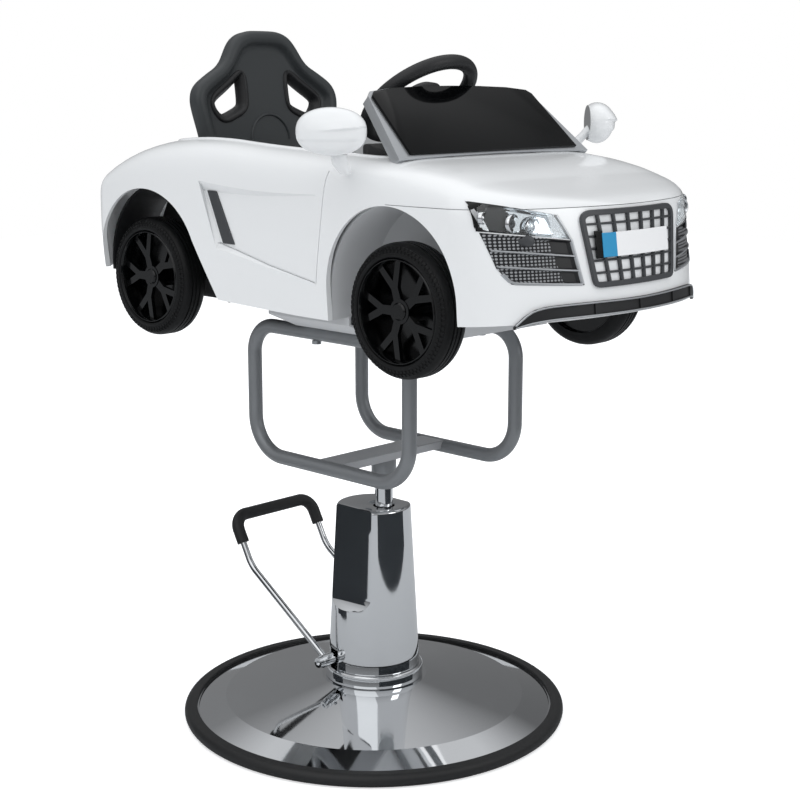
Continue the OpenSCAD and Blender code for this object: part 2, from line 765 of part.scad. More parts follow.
// Points on the rounded ends of the body. end is -1 on the nose and 1 on the tail,
// x and z say where, and out is how far the point stands off the surface.
nose_l = nose_share * car_l;
tail_l = (1 - tail_share) * car_l;
end_half_w = car_half_w * width_shares[0][1];
function tuck(z) = foot_tuck
  * pow(max(0, (belt_share * body_h + rocker_z - z) / (body_h * (belt_share - foot_shares[0][1]))), 2);
function drawn(s, z) = let(zb = rocker_z + belt_share * body_h, v = (z - zb) / (top_z(s) - zb))
  v <= 0 ? 1 : pow(1 - pow(min(v, 0.99), corner_power), 1 / corner_power);
function end_turn(x, z, k) = asin(clamp((abs(x) + tuck(z)) / (end_half_w * k), -1, 1));
function end_share(end, turn) =
  end < 0 ? nose_share * (1 - cos(turn)) : tail_share + (1 - tail_share) * cos(turn);
function end_at(end, x, z, out) =
  let(b = end < 0 ? nose_l : tail_l, c = end < 0 ? nose_y + nose_l : tail_y - tail_l,
      rough = end_turn(x, z, drawn(end_share(end, end_turn(x, z, 1)), z)),
      turn = end_turn(x, z, drawn(end_share(end, rough), z)),
      nx = b * sin(turn), ny = end_half_w * cos(turn), nl = norm([nx, ny]),
      shift_y = end < 0 ? nose_lean * (z - lean_z) / lean_h : 0)
  [x + sign(x) * out * nx / nl, c + end * (b * cos(turn) + out * ny / nl) + shift_y, z];
patch_steps = 6;
// Curved slab on an end. Each row runs from its outer to its inner point, as
// shares of the half width and of the body's height, and stays in one plane.
function row_points(end, row, out) =
  let(x0 = -car_half_w * row[0][0], x1 = -car_half_w * row[1][0], z0 = rocker_z + body_h * row[0][1],
      z1 = rocker_z + body_h * row[1][1])
  [for (k = [0:patch_steps]) let(u = k / patch_steps,
      p = end_at(end, blend(x0, x1, u), blend(z0, z1, u), out))
    [p[0], p[1], z0 + (z1 - z0) * (p[0] - x0) / (x1 - x0)]];
module patch(end, rows, low, high) {
  skin([for (row = rows) let(ring = concat(row_points(end, row, high),
      [for (i = [patch_steps:-1:0]) row_points(end, row, low)[i]]), n = len(ring))
    [for (i = [0:n - 1]) end < 0 ? ring[i] : ring[n - 1 - i]]], true);
}
function blend(a, b, u) = a * (1 - u) + b * u;
// Rows drawn in by shares of the half width and of the body's height
function drawn_in(rows, dx, dz, inner = 0) = [for (i = [0:len(rows) - 1])
  let(z = i == 0 ? dz : i == len(rows) - 1 ? -dz : 0)
  [[rows[i][0][0] - dx, rows[i][0][1] + z], [rows[i][1][0] + dx + inner, rows[i][1][1] + z]]];

lamp_rows_shares = [[[0.920, 0.580], [0.475, 0.525]], [[0.924, 0.732], [0.550, 0.655]]];
vent_rows_shares = [[[0.809, 0.306], [0.414, 0.282]], [[0.867, 0.389], [0.430, 0.350]],
  [[0.917, 0.573], [0.468, 0.519]]];
lens_t = 2.5;
lamp_depth = 14;
insert_gap_share = 0.002;
// The inserts' inner ends stand clear of the straight holes through the whole wall
insert_draw_share = 0.006;
function inset(rows) = drawn_in(rows, insert_gap_share, insert_gap_share, insert_draw_share);

// The holes in the nose that the lamps and the side grilles fill
module nose_holes() {
  reach_share = 0.3;
  on_both_sides() along_y(nose_y - 2 * over, nose_y + reach_share * car_l)
    for (rows = [lamp_rows_shares, vent_rows_shares])
    polygon([for (p = concat([for (r = rows) r[0]], [for (i = [len(rows) - 1:-1:0]) rows[i][1]]))
      [-car_half_w * p[0], rocker_z + body_h * p[1]]]);
}

module shell_wall(to = 1) {
  difference() {
    body_solid(0, 0, 0, to);
    body_solid(wall, body_h, 0, to);
  }
}

door_shares = [[0.676, 0.735], [0.405, 0.700], [0.409, 0.21], [0.52, 0.25], [0.637, 0.335]];
door_from = 0.34;
door_to = 0.72;
// Depth at the recess's front edge, as a share of the depth at its rear edge
door_front_share = 0.35;
// Inner end of the cutter for the recess, as a share of the half width
door_in_share = 0.8;
// Depth of the recess along the body
function door_in(s) = let(a = door_shares[1][0], b = door_shares[0][0])
  door_depth * (door_front_share + (1 - door_front_share) * clamp((s - a) / (b - a), 0, 1));
module door_cut() {
  difference() {
    on_both_sides() along_x(-car_half_w - over, -door_in_share * car_half_w)
      polygon([for (p = door_shares) [nose_y + car_l * p[0], rocker_z + body_h * p[1]]]);
    skin([for (s = stations) if (s >= door_from && s <= door_to) section(s, door_in(s), over)], true);
  }
}

module opening_outline(grow) {
  rounded(-opening_half_w - grow, opening_front_y - grow, opening_half_w + grow, opening_rear_y + grow,
    opening_r + grow);
}

mirror_pin_r = 4;
mirror_pin_l = 14;
mirror_foot_r = 11;
mirror_foot_h = 26;
mirror_off = 9;
mirror_back = 73;
mirror_drop = 13;
mirror_root_shares = [0.88, 0.55];
mirror_x = -(car_half_w + mirror_off);
mirror_y = -(front_axle_y - mirror_back);
mirror_foot_z = sill_z - mirror_drop;

module mirror_foot() {
  translate([mirror_x, mirror_y, mirror_foot_z - mirror_foot_h]) union() {
    cylinder(r = mirror_foot_r, h = mirror_foot_h);
    translate([0, -mirror_foot_r, 0]) cube([-mirror_x - mirror_root_shares[0] * car_half_w,
      2 * mirror_foot_r, mirror_root_shares[1] * mirror_foot_h]);
  }
}

module body_shell() {
  color("white") difference() {
    union() {
      difference() {
        shell_wall();
        bumper_region(0);
      }
      intersection() {
        up(rim_low_z) linear_extrude(2 * body_h) difference() {
          opening_outline(chassis_t);
          opening_outline(0);
        }
        body_solid(rim_in, 0, rim_from, rim_to);
      }
      on_both_sides() mirror_foot();
    }
    up(rim_low_z - over) linear_extrude(2 * body_h) opening_outline(0);
    on_both_sides() {
      along_x(-car_half_w - 2 * over, -opening_half_w - 2 * chassis_t) {
        front_arch(0);
        rear_arch(0);
      }
      translate([mirror_x, mirror_y, mirror_foot_z - mirror_pin_l])
        cylinder(r = mirror_pin_r + run_gap, h = 2 * mirror_pin_l);
    }
    nose_holes();
    door_cut();
  }
}

module front_bumper() {
  color("white") difference() {
    intersection() {
      shell_wall(bumper_to);
      bumper_region(seam_gap);
    }
    on_both_sides() along_x(-car_half_w - 2 * over, -opening_half_w + 4 * wall) front_arch(0);
    nose_holes();
  }
}

// Chassis mouldings
split_lead = 251;
split_y = rear_axle_y - split_lead;
ledge_top = rim_low_z - fit_gap;
liner_in = 20;
rear_liner_in = 30;
liner_x = car_half_w - liner_in;
rear_liner_x = car_half_w - rear_liner_in;
tray_half_w = 190;
tray_drop = 12;
tray_lap = 2;
tray_flat = 19;
tray_side_z = rocker_z - tray_drop;
tray_flat_x = loop_x + tray_flat;
column_gap = 3;
well_out = well_half_w + chassis_t;
beam_h = 14;
beam_w = 26;
beam_rise = 21;
tie_clear = 52;
beam_top = axle_z + beam_rise;
tie_clear_z = axle_z + tie_clear;
liner_gap = 1;
liner_low_share = 0.11;
liner_low_z = rocker_z + liner_low_share * body_h;
beam_seat_w = 50;

module front_chassis() {
  t = chassis_t;
  low = tray_z;
  high = rocker_z + tray_lap;
  firewall_y = opening_front_y - t;
  tray = [[tray_half_w, high], [tray_half_w, tray_side_z], [tray_flat_x, low]];
  tray_outline = concat([for (p = tray) [-p[0], p[1]]], [for (i = [2:-1:0]) tray[i]]);
  color("#8b8d8f") difference() {
    union() {
      along_y(firewall_y, split_y) difference() {
        polygon(tray_outline);
        polygon([[-tray_half_w + t, high + over], [-tray_half_w + t, tray_side_z + t / 2],
          [-tray_flat_x + t / 3, low + t], [tray_flat_x - t / 3, low + t],
          [tray_half_w - t, tray_side_z + t / 2], [tray_half_w - t, high + over]]);
      }
      along_y(firewall_y, firewall_y + t) polygon(concat(tray_outline,
        [[well_out, high], [well_out, ledge_top], [-well_out, ledge_top], [-well_out, high]]));
      along_y(split_y - t, split_y) polygon(tray_outline);
      on_both_sides() {
        translate([-well_out, firewall_y, low + t / 2])
          cube([t, split_y - firewall_y, ledge_top - low - t / 2]);
        translate([-well_out + 2 * t, -front_axle_y - beam_w / 2, beam_top])
          cube([beam_seat_w, firewall_y + front_axle_y + beam_w / 2 + t / 2, tie_clear_z - beam_top]);
        translate([-opening_half_w - 1.5 * t, firewall_y - t / 2, ledge_top - t])
          cube([opening_half_w + 1.5 * t - well_half_w, split_y - firewall_y + t / 2, t]);
        along_x(-liner_x, -well_half_w) intersection() {
          difference() {
            front_arch(liner_gap + t);
            front_arch(liner_gap);
          }
          union() {
            translate([front_arch_y - 2 * arch_r, liner_low_z]) square([4 * arch_r, 4 * arch_r]);
            translate([front_arch_y, rocker_z]) square([2 * arch_r, 2 * arch_r]);
          }
        }
        along_x(-well_out, -well_half_w) intersection() {
          front_arch(liner_gap + t);
          translate([front_arch_y - 2 * arch_r, tie_clear_z]) square([4 * arch_r, 4 * arch_r]);
        }
      }
    }
    steer_axis(-over) cylinder(r = column_r + column_gap, h = 2 * body_h);
    on_both_sides() along_x(-car_half_w, -well_out) front_arch(0);
    for (x = [-loop_x, loop_x], y = frame_bolt_ys) translate([x, y, low - over])
      cylinder(r = frame_bolt_r + bolt_gap, h = t + 2 * over);
  }
}

seat_base_h = 94;
seat_base_z = rocker_z + seat_base_h;
tail_top_share = 0.5;
boss_r = 15;
boss_l = 20;

module rear_chassis() {
  t = chassis_t;
  low = tray_side_z;
  front = split_y + fit_gap;
  back_y = opening_rear_y;
  end_y = rear_arch_y + rear_arch_r + t;
  seat_bolt_hole = seat_bolt_r + bolt_gap;
  color("#26272a") difference() {
    union() {
      difference() {
        translate([-well_out, front, low]) cube([2 * well_out, back_y - front, seat_base_z - low]);
        translate([-well_half_w, front + t, low - over])
          cube([2 * well_half_w, back_y - front - 2 * t, seat_base_z - low - t + over]);
      }
      translate([-well_out, back_y - t, low]) cube([2 * well_out, t, ledge_top - low]);
      translate([-well_out, back_y - t, ledge_top - t]) cube([2 * well_out, 2.5 * t, t]);
      on_both_sides() {
        along_x(-well_out, -well_half_w) polygon([[front, low], [end_y, low + 2 * t], [end_y, arch_z],
          [rear_arch_y + tail_top_share * arch_r, ledge_top - 4 * t], [back_y, ledge_top], [front, ledge_top]]);
        translate([-opening_half_w - 1.5 * t, front, ledge_top - t])
          cube([opening_half_w + 1.5 * t - well_half_w, back_y + 1.5 * t - front, t]);
        along_x(-rear_liner_x, -well_half_w) intersection() {
          difference() {
            rear_arch(liner_gap + t);
            rear_arch(liner_gap);
          }
          union() {
            translate([rear_arch_y - 2 * arch_r, liner_low_z]) square([4 * arch_r, 4 * arch_r]);
            translate([rear_arch_y - 2 * arch_r, rocker_z]) square([2 * arch_r, 2 * arch_r]);
          }
        }
        translate([-well_out - boss_l / 2, rear_axle_y, axle_z]) rotate([0, 90, 0])
          cylinder(r = boss_r, h = boss_l);
      }
    }
    translate([0, rear_axle_y, axle_z]) rotate([0, 90, 0])
      cylinder(r = axle_r + run_gap, h = 4 * well_out, center = true);
    for (x = seat_bolt_xs, y = seat_bolt_ys) translate([x, y, seat_base_z - 2 * t])
      cylinder(r = seat_bolt_hole, h = 3 * t);
  }
}

// Seat
seat_half_w = 150;
seat_h = 306;
seat_pan_t = 20;
seat_back_in = 37;
seat_back_y = opening_rear_y - seat_back_in;
seat_pan_l = 175;
seat_bolt_r = 4;
seat_bolt_xs = [-70, 70];
seat_bolt_leads = [130, 60];
seat_bolt_ys = [for (d = seat_bolt_leads) seat_back_y - d];
pan_half_w = 120;
slab_in = 24;
border_in = 16.8;
seat_edge_r = 6;
seat_shares = [[0.787, 0], [0.88, 0.30], [0.927, 0.47], [0.987, 0.60], [1, 0.655], [0.94, 0.725],
  [0.747, 0.785], [0.60, 0.822], [0.525, 0.862], [0.47, 0.91], [0.40, 0.955], [0.32, 0.983], [0.2, 1]];
seat_side = [for (p = seat_shares) [seat_half_w * p[0], seat_h * p[1]]];
seat_outline = concat([[0, 0]], seat_side,
  [for (i = [len(seat_side) - 1:-1:0]) [-seat_side[i][0], seat_side[i][1]]]);
// Outline drawn in by d along its corners' inward normals
function inward(o, d) = [for (i = [0:len(o) - 1]) let(n = len(o), a = o[(i + n - 1) % n], b = o[(i + 1) % n],
  v = (b - a) / norm(b - a)) o[i] + d * [-v[1], v[0]]];
function at_depth(o, y) = [for (p = o) [p[0], y, p[1]]];
seat_hole_shares = [[0.307, 0.785], [0.32, 0.605], [0.62, 0.549], [0.735, 0.611], [0.72, 0.654]];
hole_bevel = 5;
ridge_r = 40;
ridge_v = 135;
ridge_h = 2.5;
ridge_w = 4;

module seat_frame() {
  translate([0, seat_back_y, seat_base_z + fit_gap]) rotate([-seat_lean, 0, 0]) children();
}

module seat() {
  depth = seat_t + bolster;
  color("#2a2b2d") difference() {
    union() {
      seat_frame() difference() {
        skin([at_depth(inward(seat_outline, seat_edge_r), 0), at_depth(seat_outline, -seat_edge_r),
          at_depth(seat_outline, -depth + seat_edge_r), at_depth(inward(seat_outline, seat_edge_r), -depth)]);
        skin([at_depth(inward(seat_outline, slab_in), -seat_t),
          at_depth(inward(seat_outline, border_in), -depth - over)]);
      }
      seat_frame() translate([0, -seat_t + over, ridge_v]) rotate([90, 0, 0]) rotate_extrude(angle = 180)
        translate([ridge_r - ridge_w, 0]) square([ridge_w, over + ridge_h]);
      translate([0, seat_back_y - seat_t - seat_pan_l + seat_pan_t / 2, seat_base_z + fit_gap])
        along_x(-pan_half_w, pan_half_w) union() {
          square([seat_pan_l, seat_pan_t]);
          translate([0, seat_pan_t / 2]) circle(r = seat_pan_t / 2);
        }
    }
    seat_frame() on_both_sides() let(
        o = [for (p = seat_hole_shares) [seat_half_w * p[0], seat_h * p[1]]]) {
      skin([at_depth(inward(o, hole_bevel), over), at_depth(inward(o, hole_bevel), -seat_t + hole_bevel),
        at_depth(o, -seat_t), at_depth(o, -depth)]);
    }
    translate([-2 * seat_half_w, 0, seat_base_z - seat_half_w + fit_gap])
      cube([4 * seat_half_w, 2 * seat_half_w, seat_half_w]);
    for (x = seat_bolt_xs, y = seat_bolt_ys) translate([x, y, seat_base_z])
      cylinder(r = seat_bolt_r + bolt_gap, h = 2 * seat_pan_t);
  }
}

module seat_bolts() {
  head_h = 3;
  top = seat_base_z + fit_gap + seat_pan_t;
  color("#9b9ea3") for (x = seat_bolt_xs, y = seat_bolt_ys) translate([x, y, 0]) {
    up(seat_base_z - 2 * chassis_t)
      cylinder(r = seat_bolt_r, h = top - seat_base_z + 2 * chassis_t + fit_gap);
    up(top + fit_gap) cylinder(r = 2 * seat_bolt_r, h = head_h);
  }
}

// Dashboard and windshield
dash_gap = 4;
dash_l = 90;
dash_drop = 2;
dash_r = 26;
dash_corner_r = 34;
dash_slot_share = 0.6;
dash_back_y = opening_front_y + dash_l;
dash_top = sill_z - dash_drop;

module dashboard() {
  front = opening_front_y + dash_gap;
  low = rim_low_z;
  color("#202124") difference() {
    intersection() {
      along_x(-opening_half_w + dash_gap, opening_half_w - dash_gap) polygon(concat(
        [[dash_back_y - dash_r / 2, low]],
        [for (a = [0:15:105])
          [dash_back_y - dash_r + dash_r * cos(a), dash_top - dash_r + dash_r * sin(a)]],
        [[front, dash_top - dash_r], [front, low]]));
      up(low - over) linear_extrude(2 * body_h)
        rounded(-opening_half_w + dash_gap, front, opening_half_w - dash_gap, dash_back_y + over,
          dash_corner_r);
    }
    steer_axis(-over) cylinder(r = column_r + run_gap, h = 2 * body_h);
    translate([-dash_slot_share * well_half_w, dash_back_y - 3 * dash_r / 2, low - over])
      cube([2 * dash_slot_share * well_half_w, 2 * dash_r, dash_r / 2 + over]);
  }
}

screen_lead = 17;
screen_drop = 18;
screen_y = opening_front_y - screen_lead;
screen_z = sill_z - screen_drop;
screen_rise = 43;
screen_half_w = 177;
screen_h = 129;
screen_lift = 3;
screen_shares = [[1, 0.01], [0.952, 0.86], [0.905, 0.925], [0.68, 0.97], [0.34, 0.993], [0, 1]];
frame_shares = [[1.136, -0.04], [0.972, 0.885], [0.92, 0.95], [0.69, 0.993], [0.34, 1.012], [0, 1.02]];
frame_foot_shares = [[0.6, -0.012], [0, 0]];
cheek_t = 12;
// The body's stretch under the windshield frame, as shares of its length
screen_from = 0.19;
screen_to = 0.36;
lug_w = 40;
lug_share = 0.62;
lug_rises = [16, 20];
cheek_shares = [frame_shares[0], frame_shares[1], [0.945, 0.885], [1.06, -0.035]];

module screen_frame() {
  translate([0, screen_y, screen_z]) rotate([screen_rise, 0, 0]) children();
}
function both_sides(o) = concat([for (p = o) p], [for (i = [len(o) - 2:-1:0]) [-o[i][0], o[i][1]]]);
function in_screen(o) = [for (p = o) [screen_half_w * p[0], screen_h * p[1]]];

module windshield() {
  color("#0b0b0d") screen_frame() up(screen_lift + fit_gap / 3) linear_extrude(screen_t)
    polygon(in_screen(both_sides(screen_shares)));
}

module windshield_frame() {
  foot = [for (p = concat([for (i = [0, 1]) [-frame_foot_shares[i][0], frame_foot_shares[i][1]]],
    [frame_foot_shares[0]])) [screen_half_w * p[0], screen_h * p[1]]];
  color("#b9bcc0") difference() {
    union() {
      screen_frame() linear_extrude(screen_lift)
        polygon(concat(in_screen(both_sides(frame_shares)), foot));
      screen_frame() on_both_sides() up(-cheek_t) linear_extrude(cheek_t + over)
        polygon([for (p = cheek_shares) [-screen_half_w * p[0], screen_h * p[1]]]);
      on_both_sides() along_x(-lug_share * screen_half_w, -lug_share * screen_half_w + lug_w)
        let(y = opening_front_y + fit_gap) polygon([[y, rim_low_z + rim_depth / 2],
          [y + screen_lift, rim_low_z + rim_depth / 2], [y + screen_lift, screen_z + lug_rises[1]],
          [y, screen_z + lug_rises[0]]]);
    }
    difference() {
      body_solid(-fit_gap, 0, screen_from, screen_to);
      up(rim_low_z - over) linear_extrude(2 * body_h) opening_outline(0);
    }
  }
}

// Blades behind the doors. Each row has its front and rear end along the body
// and its height, as shares.
blade_rows_shares = [[0.602, 0.630, 0.371], [0.644, 0.6655, 0.683]];
blade_t = 3;
blade_steps = 3;
module side_blade() {
  function side_point(s, z, off) = [-half_w(s) + door_in(s) + tuck(z) - off, nose_y + car_l * s, z];
  color("#3a3b3e") skin([for (k = [0:blade_steps]) let(u = k / blade_steps, a = blade_rows_shares[0],
      b = blade_rows_shares[1], s0 = blend(a[0], b[0], u), s1 = blend(a[1], b[1], u),
      z = rocker_z + body_h * blend(a[2], b[2], u), out = fit_gap + blade_t)
    [side_point(s0, z, out), side_point(s0, z, fit_gap), side_point(s1, z, fit_gap), side_point(s1, z, out)]]);
}

// Front grille, plate and lip
grille_r = pow(end_half_w, 2) / nose_l;
grille_tilt = atan(nose_lean / lean_h);
grille_off = 0.6;
grille_t = 4;
grille_shares = [[0.245, 0.262], [0.32, 0.290], [0.42, 0.638], [0.362, 0.668], [0, 0.675]];
grille_band = 7;
grille_bar = 4;
grille_columns = 7;
grille_rows = 5;
plate_t = 1.5;
plate_shares = [0.285, 0.418, 0.553];

// Curved layer over the nose, between two distances off its surface
module nose_layer(from, to) {
  long = 2 * body_h;
  translate([0, nose_y + grille_r / cos(grille_tilt), lean_z]) rotate([-grille_tilt, 0, 0])
    up(-body_h / 2) difference() {
      cylinder(r = grille_r + to, h = long, $fn = 240);
      up(-over) cylinder(r = grille_r + from, h = long + 2 * over, $fn = 240);
    }
}
grille_outline = [for (p = concat([for (q = grille_shares) [-q[0], q[1]]],
  [for (i = [len(grille_shares) - 2:-1:0]) grille_shares[i]])) [car_half_w * p[0], rocker_z + body_h * p[1]]];

module centre_grille() {
  low = grille_shares[0][1];
  high = grille_shares[4][1];
  wide_low = grille_shares[1][0];
  wide_high = grille_shares[2][0];
  color("#38393c") intersection() {
    nose_layer(grille_off, grille_off + grille_t);
    along_y(nose_y - 4 * grille_t, nose_y + nose_l) union() {
      difference() {
        polygon(grille_outline);
        polygon(inward(grille_outline, grille_band));
      }
      intersection() {
        polygon(inward(grille_outline, grille_band / 2));
        union() {
          for (i = [1:grille_columns - 1]) let(u = 2 * i / grille_columns - 1)
            polygon([for (c = [[-1, 0], [1, 0], [1, 1], [-1, 1]])
              [car_half_w * u * blend(wide_low, wide_high, c[1]) + c[0] * grille_bar / 2,
               rocker_z + body_h * blend(low, high, c[1])]]);
          for (i = [1:grille_rows - 1])
            translate([-car_half_w, rocker_z + body_h * blend(low, high, i / grille_rows) - grille_bar / 2])
              square([2 * car_half_w, grille_bar]);
        }
      }
    }
  }
}

module number_plate() {
  color("#f2f3f4") intersection() {
    nose_layer(grille_off + grille_t + fit_gap, grille_off + grille_t + fit_gap + plate_t);
    along_y(nose_y - 6 * grille_t, nose_y + nose_l) polygon([for (p = [[-1, 1], [1, 1], [1, 2], [-1, 2]])
      [car_half_w * plate_shares[0] * p[0], rocker_z + body_h * plate_shares[p[1]]]]);
  }
}

lip_t = 4;
lip_off = 0.5;
lip_steps = 24;
lip_half_turn = 55;
lip_low_shares = [[0, 0.116], [0.62, 0.113], [0.85, 0.098], [1, 0.07]];
lip_high_shares = [[0, 0.19], [0.62, 0.19], [0.85, 0.166], [1, 0.085]];
lip_divider_count = 3;
lip_panel_turn = 41.25;
lip_gap_turn = 1;
lip_edge = 2.5;
module front_lip() {
  function lip_ring(a, from, to, grow) = let(u = abs(a) / lip_half_turn, x = end_half_w * sin(a),
      zl = rocker_z + body_h * smooth(lip_low_shares, u) - grow,
      zh = rocker_z + body_h * smooth(lip_high_shares, u) + grow)
    [end_at(-1, x, zl, from), end_at(-1, x, zh, from), end_at(-1, x, zh, to), end_at(-1, x, zl, to)];
  color("#1b1c1e") difference() {
    skin([for (i = [0:lip_steps])
      lip_ring(-lip_half_turn + 2 * lip_half_turn * i / lip_steps, lip_off, lip_off + lip_t, 0)]);
    for (i = [0:lip_divider_count]) let(w = 2 * lip_panel_turn / (lip_divider_count + 1), a0 = -lip_panel_turn + i * w)
      skin([for (k = [0:3]) lip_ring(a0 + lip_gap_turn + (w - 2 * lip_gap_turn) * k / 3,
        lip_off + lip_t / 2, lip_off + 2 * lip_t, -lip_edge)]);
  }
}

// Row at a share of the height between the lowest and the highest of some rows
function row_at(rows, v) = let(a = rows[0], b = rows[len(rows) - 1], m = rows[1],
    t = (m[0][1] - a[0][1]) / (b[0][1] - a[0][1]), bent = len(rows) > 2)
  [for (i = [0, 1]) bent && v < t ? blend(a[i], m[i], v / t)
    : bent ? blend(m[i], b[i], (v - t) / (1 - t)) : blend(a[i], b[i], v)];
function shifted(row, d) = [[row[0][0] - d, row[0][1]], [row[1][0] + d, row[1][1]]];
vent_cuts = [[0.06, 0.30], [0.36, 0.62], [0.68, 0.94]];
vent_edge = 0.014;
vent_depth = 10;
vent_proud = 1;

module side_grille() {
  color("#2d2e31") difference() {
    patch(-1, inset(vent_rows_shares), -vent_depth, vent_proud);
    for (c = vent_cuts) patch(-1, [for (v = c) shifted(row_at(vent_rows_shares, v), vent_edge)],
      -vent_depth / 2, 2 * vent_proud);
  }
}

// Small and large lamps: place as shares of the half width and the height, and radius
lamp_places = [[0.865, 0.647, 8], [0.740, 0.614, 12], [0.645, 0.594, 13]];
lamp_edge = 0.014;
lamp_floor = 3;
lamp_ring_h = 4.5;
lamp_ring_t = 2;
lens_proud = 0.5;

module headlight() {
  color("#c9ccd0") union() {
    difference() {
      patch(-1, inset(lamp_rows_shares), -lamp_depth, -lens_t - fit_gap);
      patch(-1, drawn_in(lamp_rows_shares, lamp_edge, lamp_edge), -lamp_depth + lamp_floor, over);
    }
    for (l = lamp_places) let(x = -car_half_w * l[0], z = rocker_z + body_h * l[1],
        p = end_at(-1, x, z, -lamp_depth + lamp_floor / 2), d = end_at(-1, x, z, 0) - p)
      translate(p) rotate([0, 90, atan2(d[1], d[0])]) difference() {
        cylinder(r = l[2], h = lamp_ring_h);
        up(lamp_floor) cylinder(r = l[2] - lamp_ring_t, h = lamp_ring_h);
      }
  }
}

module headlight_lens() {
  color("#dfe9f2", 0.4) patch(-1, inset(lamp_rows_shares), -lens_t, lens_proud);
}

tail_rows_shares = [[[0.80, 0.30], [0.42, 0.30]], [[0.86, 0.425], [0.40, 0.425]]];
tail_off = 0.6;
tail_t = 3.4;
module tail_lamps() {
  color("#b3161b") on_both_sides() patch(1, tail_rows_shares, tail_off, tail_off + tail_t);
}

// Steering
steer_back = 166;
steer_rise = 55;
crank_rise = 12;
steer_y = -(front_axle_y - steer_back);
steer_z = sill_z + steer_rise;
crank_foot_z = axle_z + crank_rise;
crank_foot_y = steer_y - (steer_z - crank_foot_z) * tan(steer_tilt);
column_l = (steer_z - crank_foot_z) / cos(steer_tilt);
tie_y = crank_foot_y - crank_l * cos(steer_tilt);
tie_z = crank_foot_z + crank_l * sin(steer_tilt);
tie_t = 6;
tie_w = 12;
arm_l = -tie_y - front_axle_y;
kingpin_in = 70;
kingpin_x = wheel_face_x - kingpin_in;
axle_end_in = 12;
kingpin_r = 5;
eye_r = 11;
eye_h = 34;
fork_t = 6;
pin_r = 4;
ball_r = 4.5;
crank_r = 3.5;
slot_slack = 0.5;

module steer_axis(from) {
  translate([0, crank_foot_y, crank_foot_z]) rotate([-steer_tilt, 0, 0]) up(from) children();
}

module steering_column() {
  color("#77797d") union() {
    steer_axis(-2 * crank_r) cylinder(r = column_r, h = column_l + 2 * crank_r);
    steer_axis(0) rotate([90, 0, 0]) cylinder(r = crank_r, h = crank_l);
    steer_axis(0) translate([0, -crank_l, 0]) sphere(r = ball_r);
  }
}

hub_r = 36;
hub_top = 10;
hub_low = 16;
horn_r = 15;
horn_travel = 3;
spoke_w = 22;
spoke_t = 9;
spoke_turns = [0, 180, 90];
hub_edge = 6;
hub_brim = 2;
hub_slope = 8;
horn_seat = 3;

module steering_wheel() {
  ring_mid_r = steer_r - steer_rim_r;
  color("#222326") steer_axis(column_l) difference() {
    union() {
      rotate_extrude() translate([ring_mid_r, 0]) circle(r = steer_rim_r);
      up(-hub_low) cylinder(r = hub_r / 2, h = hub_low);
      rotate_extrude() polygon([[0, -spoke_t], [hub_r - hub_edge, -spoke_t], [hub_r, -spoke_t / 2],
        [hub_r, hub_brim], [hub_r - hub_slope, hub_top], [0, hub_top]]);
      for (a = spoke_turns) rotate(a) translate([0, -spoke_w / 2, -spoke_t / 2])
        cube([ring_mid_r, spoke_w, spoke_t]);
    }
    up(-2 * hub_low) cylinder(r = column_r + run_gap, h = 2 * hub_low + fit_gap);
    up(hub_top - horn_travel - horn_seat) cylinder(r = horn_r + fit_gap, h = 2 * hub_top);
  }
}

module horn_button() {
  button_h = 5;
  color("#3c3e42") steer_axis(column_l + hub_top - horn_seat + fit_gap) cylinder(r = horn_r, h = button_h);
}

module front_axle_beam() {
  color("#4c4e52") difference() {
    union() {
      translate([-kingpin_x, -front_axle_y - beam_w / 2, beam_top - beam_h])
        cube([2 * kingpin_x, beam_w, beam_h]);
      for (x = [-kingpin_x, kingpin_x]) translate([x, -front_axle_y, beam_top - eye_h])
        cylinder(r = eye_r, h = eye_h);
    }
    for (x = [-kingpin_x, kingpin_x]) {
      translate([x, -front_axle_y, beam_top - eye_h - over])
        cylinder(r = kingpin_r + run_gap, h = eye_h + 2 * over);
      translate([x + sign(x) * 2 * eye_r, -front_axle_y, beam_top - beam_h / 2])
        cube([2 * eye_r, 2 * beam_w, 2 * beam_h], center = true);
    }
  }
}

module knuckle() {
  top = beam_top + fit_gap;
  low = beam_top - eye_h - fit_gap;
  cheek_gap = 2;
  side_t = 5;
  arm_half_w = 8;
  pin_proud = 4;
  cheek_x = eye_r + cheek_gap;
  stub_end = wheel_face_x - axle_end_in - kingpin_x;
  color("#6a6c70") translate([-kingpin_x, -front_axle_y, 0]) union() {
    up(low - fork_t) cylinder(r = kingpin_r, h = top - low + 2 * fork_t);
    for (z = [top, low - fork_t]) up(z) {
      cylinder(r = eye_r, h = fork_t);
      translate([-cheek_x - side_t, -eye_r, 0]) cube([cheek_x + side_t, 2 * eye_r, fork_t]);
    }
    translate([-cheek_x - side_t, -eye_r, low - fork_t]) cube([side_t, 2 * eye_r, top - low + 2 * fork_t]);
    translate([-stub_end, 0, axle_z]) rotate([0, 90, 0]) cylinder(r = axle_r, h = stub_end - cheek_x);
    translate([-arm_half_w, -arm_l, top]) cube([2 * arm_half_w, arm_l, fork_t]);
    translate([0, -arm_l, top]) cylinder(r = arm_half_w, h = fork_t);
    translate([0, -arm_l, top]) cylinder(r = pin_r, h = fork_t + tie_t + pin_proud);
  }
}

module slot(x, y0, y1, r) {
  low = tie_z - tie_t;
  translate([x, tie_y, low]) union() {
    translate([0, y0, 0]) cylinder(r = r, h = 2 * tie_t);
    translate([0, y1, 0]) cylinder(r = r, h = 2 * tie_t);
    translate([-r, y0, 0]) cube([2 * r, y1 - y0, 2 * tie_t]);
  }
}

